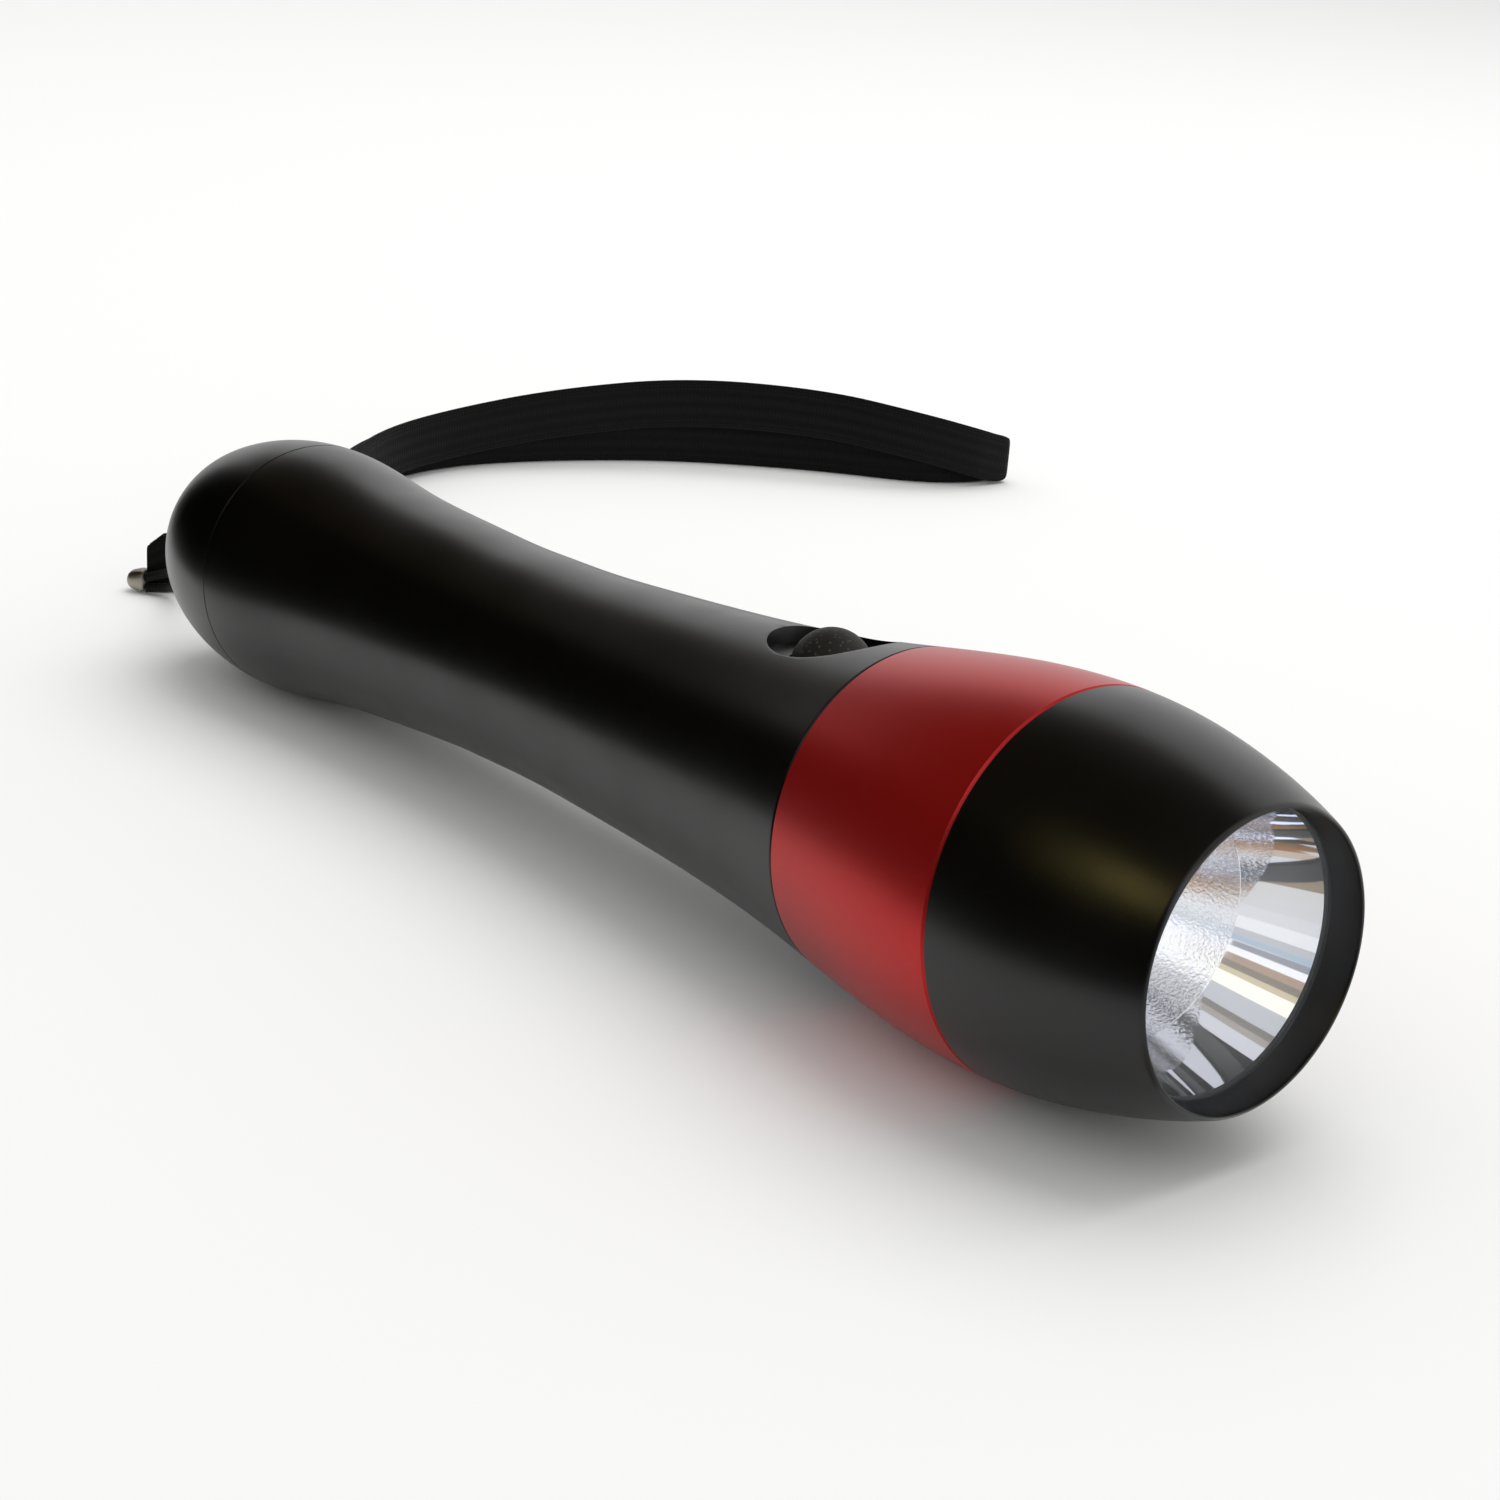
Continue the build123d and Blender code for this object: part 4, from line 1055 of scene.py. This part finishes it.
# %% [markdown]
# ## What the reflector shows
#
# A polished bowl shows what lies ahead of its mouth. Its upper half looks at the room, so wide
# panels stand a quarter of a metre off, each spun through part of a turn about the torch, from
# straight up towards the far side. Its lower half looks at the table just ahead, so the table
# itself is striped there, along the torch, but for reflected rays alone.
#
# The tints were read off the photograph, about one for each streak that it shows round the
# bowl. Tracing rays from the camera through the bowl gave the places where they change.

# %% Panels before the reflector
PANEL_R, PANEL_STEPS = 250.0, 8
# Turn from and to in degrees, near and far end ahead of the rim in millimetres, colour, strength.
PANELS = [
    (-45, -12, 60, 130, "#a5917a", 1.0),
    (-12, 8, 60, 150, "#eceae6", 1.0),
    (8, 32, 60, 178, "#ededeb", 1.0),
    (32, 52, 60, 400, "#f4f4f5", 1.0),
    (52, 72, 60, 400, "#ffffff", 1.12),
    (72, 84, 60, 400, "#d8dadc", 1.0),
    (84, 93, 60, 400, "#c3d6e4", 1.0),
    (-12, -5.4, 150, 400, "#7d5c2c", 1.0),
    (-5.4, 2, 150, 400, "#8f6a3a", 1.0),
    (2, 14, 150, 400, "#aa7440", 1.0),
    (14, 32, 178, 400, "#e2cbb4", 1.0),
]
for index, (turn_from, turn_to, near, far, colour, strength) in enumerate(PANELS):
    bm = bmesh.new()
    start = Matrix.Rotation(-math.radians(turn_from), 3, "X") @ Vector((0, 0, PANEL_R * MM))
    ends = [bm.verts.new(start + Vector(((FRONT + along) * MM, 0, 0))) for along in (near, far)]
    edge = bm.edges.new(ends)
    bmesh.ops.spin(
        bm,
        geom=[*ends, edge],
        cent=(0, 0, 0),
        axis=(1, 0, 0),
        angle=-math.radians(turn_to - turn_from),
        steps=PANEL_STEPS,
    )
    bmesh.ops.transform(bm, matrix=LAY_DOWN, verts=bm.verts)
    glowing_sheet(bm, f"panel_{index}", colour, strength)
print("panels", len(PANELS))

# %% Stripes on the table, for reflections
MOUTH_X, AXIS_HEIGHT, STRIPE_SPAN, STRIPE_REACH, PEAK = 0.0924, 0.021, 0.16, 0.3, 1.9
# Near side in millimetres from under the axis, colour, strength.
STRIPES = [
    (-160, "#ebebef", 1.0),
    (-27, "#bab2a9", 1.0),
    (-19.5, "#928d84", 1.0),
    (-13, "#dddee1", 1.0),
    (1.2, "#fffbe8", 1.5),
    (11.5, "#efdfb8", 1.0),
    (18, "#9b9182", 1.0),
    (28, "#c6ab92", 1.0),
    (48, "#ffffff", 1.3),
    (100, "#acaeb6", 1.0),
]
tree = table_white.node_tree
output = next(n for n in tree.nodes if n.type == "OUTPUT_MATERIAL")
spot = add(tree, "ShaderNodeTexCoord").outputs["Object"]
axes = add(tree, "ShaderNodeSeparateXYZ", {"Vector": spot}).outputs
across_table = add(
    tree, "ShaderNodeMapRange", {"Value": axes["Y"], "From Min": -STRIPE_SPAN, "From Max": STRIPE_SPAN}
)
ramp = add(tree, "ShaderNodeValToRGB", {"Fac": across_table.outputs[0]})
ramp.color_ramp.interpolation = "CONSTANT"
for index, (side, colour, strength) in enumerate(STRIPES):
    place_on = (side * MM + STRIPE_SPAN) / (2 * STRIPE_SPAN)
    stop = ramp.color_ramp.elements[0] if index == 0 else ramp.color_ramp.elements.new(place_on)
    stop.position = place_on
    stop.color = (*[c * strength / PEAK for c in linear(colour)[:3]], 1)
ramp.color_ramp.elements.remove(ramp.color_ramp.elements[-1])
print("stripes", len(STRIPES))

# %% The glare of the inner zone
# The orange-peel zone looks further out, past a slope that grows from one side to the other,
# and it sees one even brightness there instead of stripes.
past_mouth = add(tree, "ShaderNodeMath", {0: axes["X"], 1: MOUTH_X}, operation="SUBTRACT")
from_axis = add(tree, "ShaderNodeCombineXYZ", {"Y": axes["Y"], "Z": AXIS_HEIGHT})
distance = add(tree, "ShaderNodeVectorMath", {0: from_axis.outputs[0]}, operation="LENGTH")
slope = add(
    tree, "ShaderNodeMath", {0: past_mouth.outputs[0], 1: distance.outputs["Value"]}, operation="DIVIDE"
)
limit = add(
    tree,
    "ShaderNodeMapRange",
    {"Value": axes["Y"], "From Min": -20 * MM, "From Max": 14 * MM, "To Min": 0.56, "To Max": 0.8},
)
beyond = add(
    tree, "ShaderNodeMath", {0: slope.outputs[0], 1: limit.outputs[0]}, operation="GREATER_THAN"
)
far_side = add(tree, "ShaderNodeMath", {0: axes["Y"], 1: -4 * MM}, operation="GREATER_THAN")
glare = add(
    tree,
    "ShaderNodeMix",
    {
        "Factor": far_side.outputs[0],
        "A": tuple(c / PEAK for c in linear("#e6e6ea")),
        "B": (0.72, 0.72, 0.73, 1),
    },
    data_type="RGBA",
)
table_glow = add(
    tree,
    "ShaderNodeMix",
    {"Factor": beyond.outputs[0], "A": ramp.outputs["Color"], "B": glare.outputs["Result"]},
    data_type="RGBA",
)

# %% Shown only ahead of the mouth, and only to reflected rays
shine = add(tree, "ShaderNodeEmission", {"Color": table_glow.outputs["Result"], "Strength": PEAK})
ahead = add(tree, "ShaderNodeMath", {0: past_mouth.outputs[0], 1: 0.0}, operation="GREATER_THAN")
near_mouth = add(
    tree, "ShaderNodeMath", {0: past_mouth.outputs[0], 1: STRIPE_REACH}, operation="LESS_THAN"
)
glossy = add(tree, "ShaderNodeLightPath").outputs["Is Glossy Ray"]
in_reach = add(
    tree, "ShaderNodeMath", {0: ahead.outputs[0], 1: near_mouth.outputs[0]}, operation="MULTIPLY"
)
shown_when = add(tree, "ShaderNodeMath", {0: in_reach.outputs[0], 1: glossy}, operation="MULTIPLY")
striped = add(
    tree,
    "ShaderNodeMixShader",
    {0: shown_when.outputs[0], 1: table_shader.outputs[0], 2: shine.outputs[0]},
)
tree.links.new(striped.outputs[0], output.inputs["Surface"])
table_white.cycles.emission_sampling = "NONE"
print("table nodes", len(tree.nodes))

# %% [markdown]
# ## Room and lamp
#
# The room is white for the camera and for mirrors and glass, and a little dimmer for all other
# rays, so that the table keeps its shadow and doesn't burn out. The softbox is left out of
# reflections, because its square image would break the long highlight on the barrel.

# %% Room
world = bpy.data.worlds.new("room")
bpy.context.scene.world = world
world.use_nodes = True
world_tree = world.node_tree
world_tree.nodes.clear()
path = add(world_tree, "ShaderNodeLightPath")
seen = add(
    world_tree,
    "ShaderNodeMath",
    {0: path.outputs["Is Camera Ray"], 1: path.outputs["Is Glossy Ray"]},
    operation="MAXIMUM",
)
shown = add(
    world_tree,
    "ShaderNodeMath",
    {0: seen.outputs[0], 1: path.outputs["Is Transmission Ray"]},
    operation="MAXIMUM",
)
soft = add(world_tree, "ShaderNodeBackground", {"Color": (1, 1, 1, 1), "Strength": 0.72})
white = add(world_tree, "ShaderNodeBackground", {"Color": (1, 1, 1, 1), "Strength": 1.0})
room = add(
    world_tree, "ShaderNodeMixShader", {0: shown.outputs[0], 1: soft.outputs[0], 2: white.outputs[0]}
)
add(world_tree, "ShaderNodeOutputWorld", {"Surface": room.outputs[0]})
print("room nodes", len(world_tree.nodes))

# %% Softbox
light_data = bpy.data.lights.new("softbox", "AREA")
light_data.shape = "RECTANGLE"
light_data.size = 1.2
light_data.size_y = 1.2
light_data.energy = 9.2
light = bpy.data.objects.new("softbox", light_data)
light.location = (-0.15, 0.45, 1.3)
light.rotation_euler = (Vector((0, 0, 0)) - light.location).to_track_quat("-Z", "Y").to_euler()
light.visible_glossy = False
bpy.context.scene.collection.objects.link(light)

bpy.context.scene.view_settings.view_transform = "Standard"
print("softbox", light_data.size, "m, energy", light_data.energy)
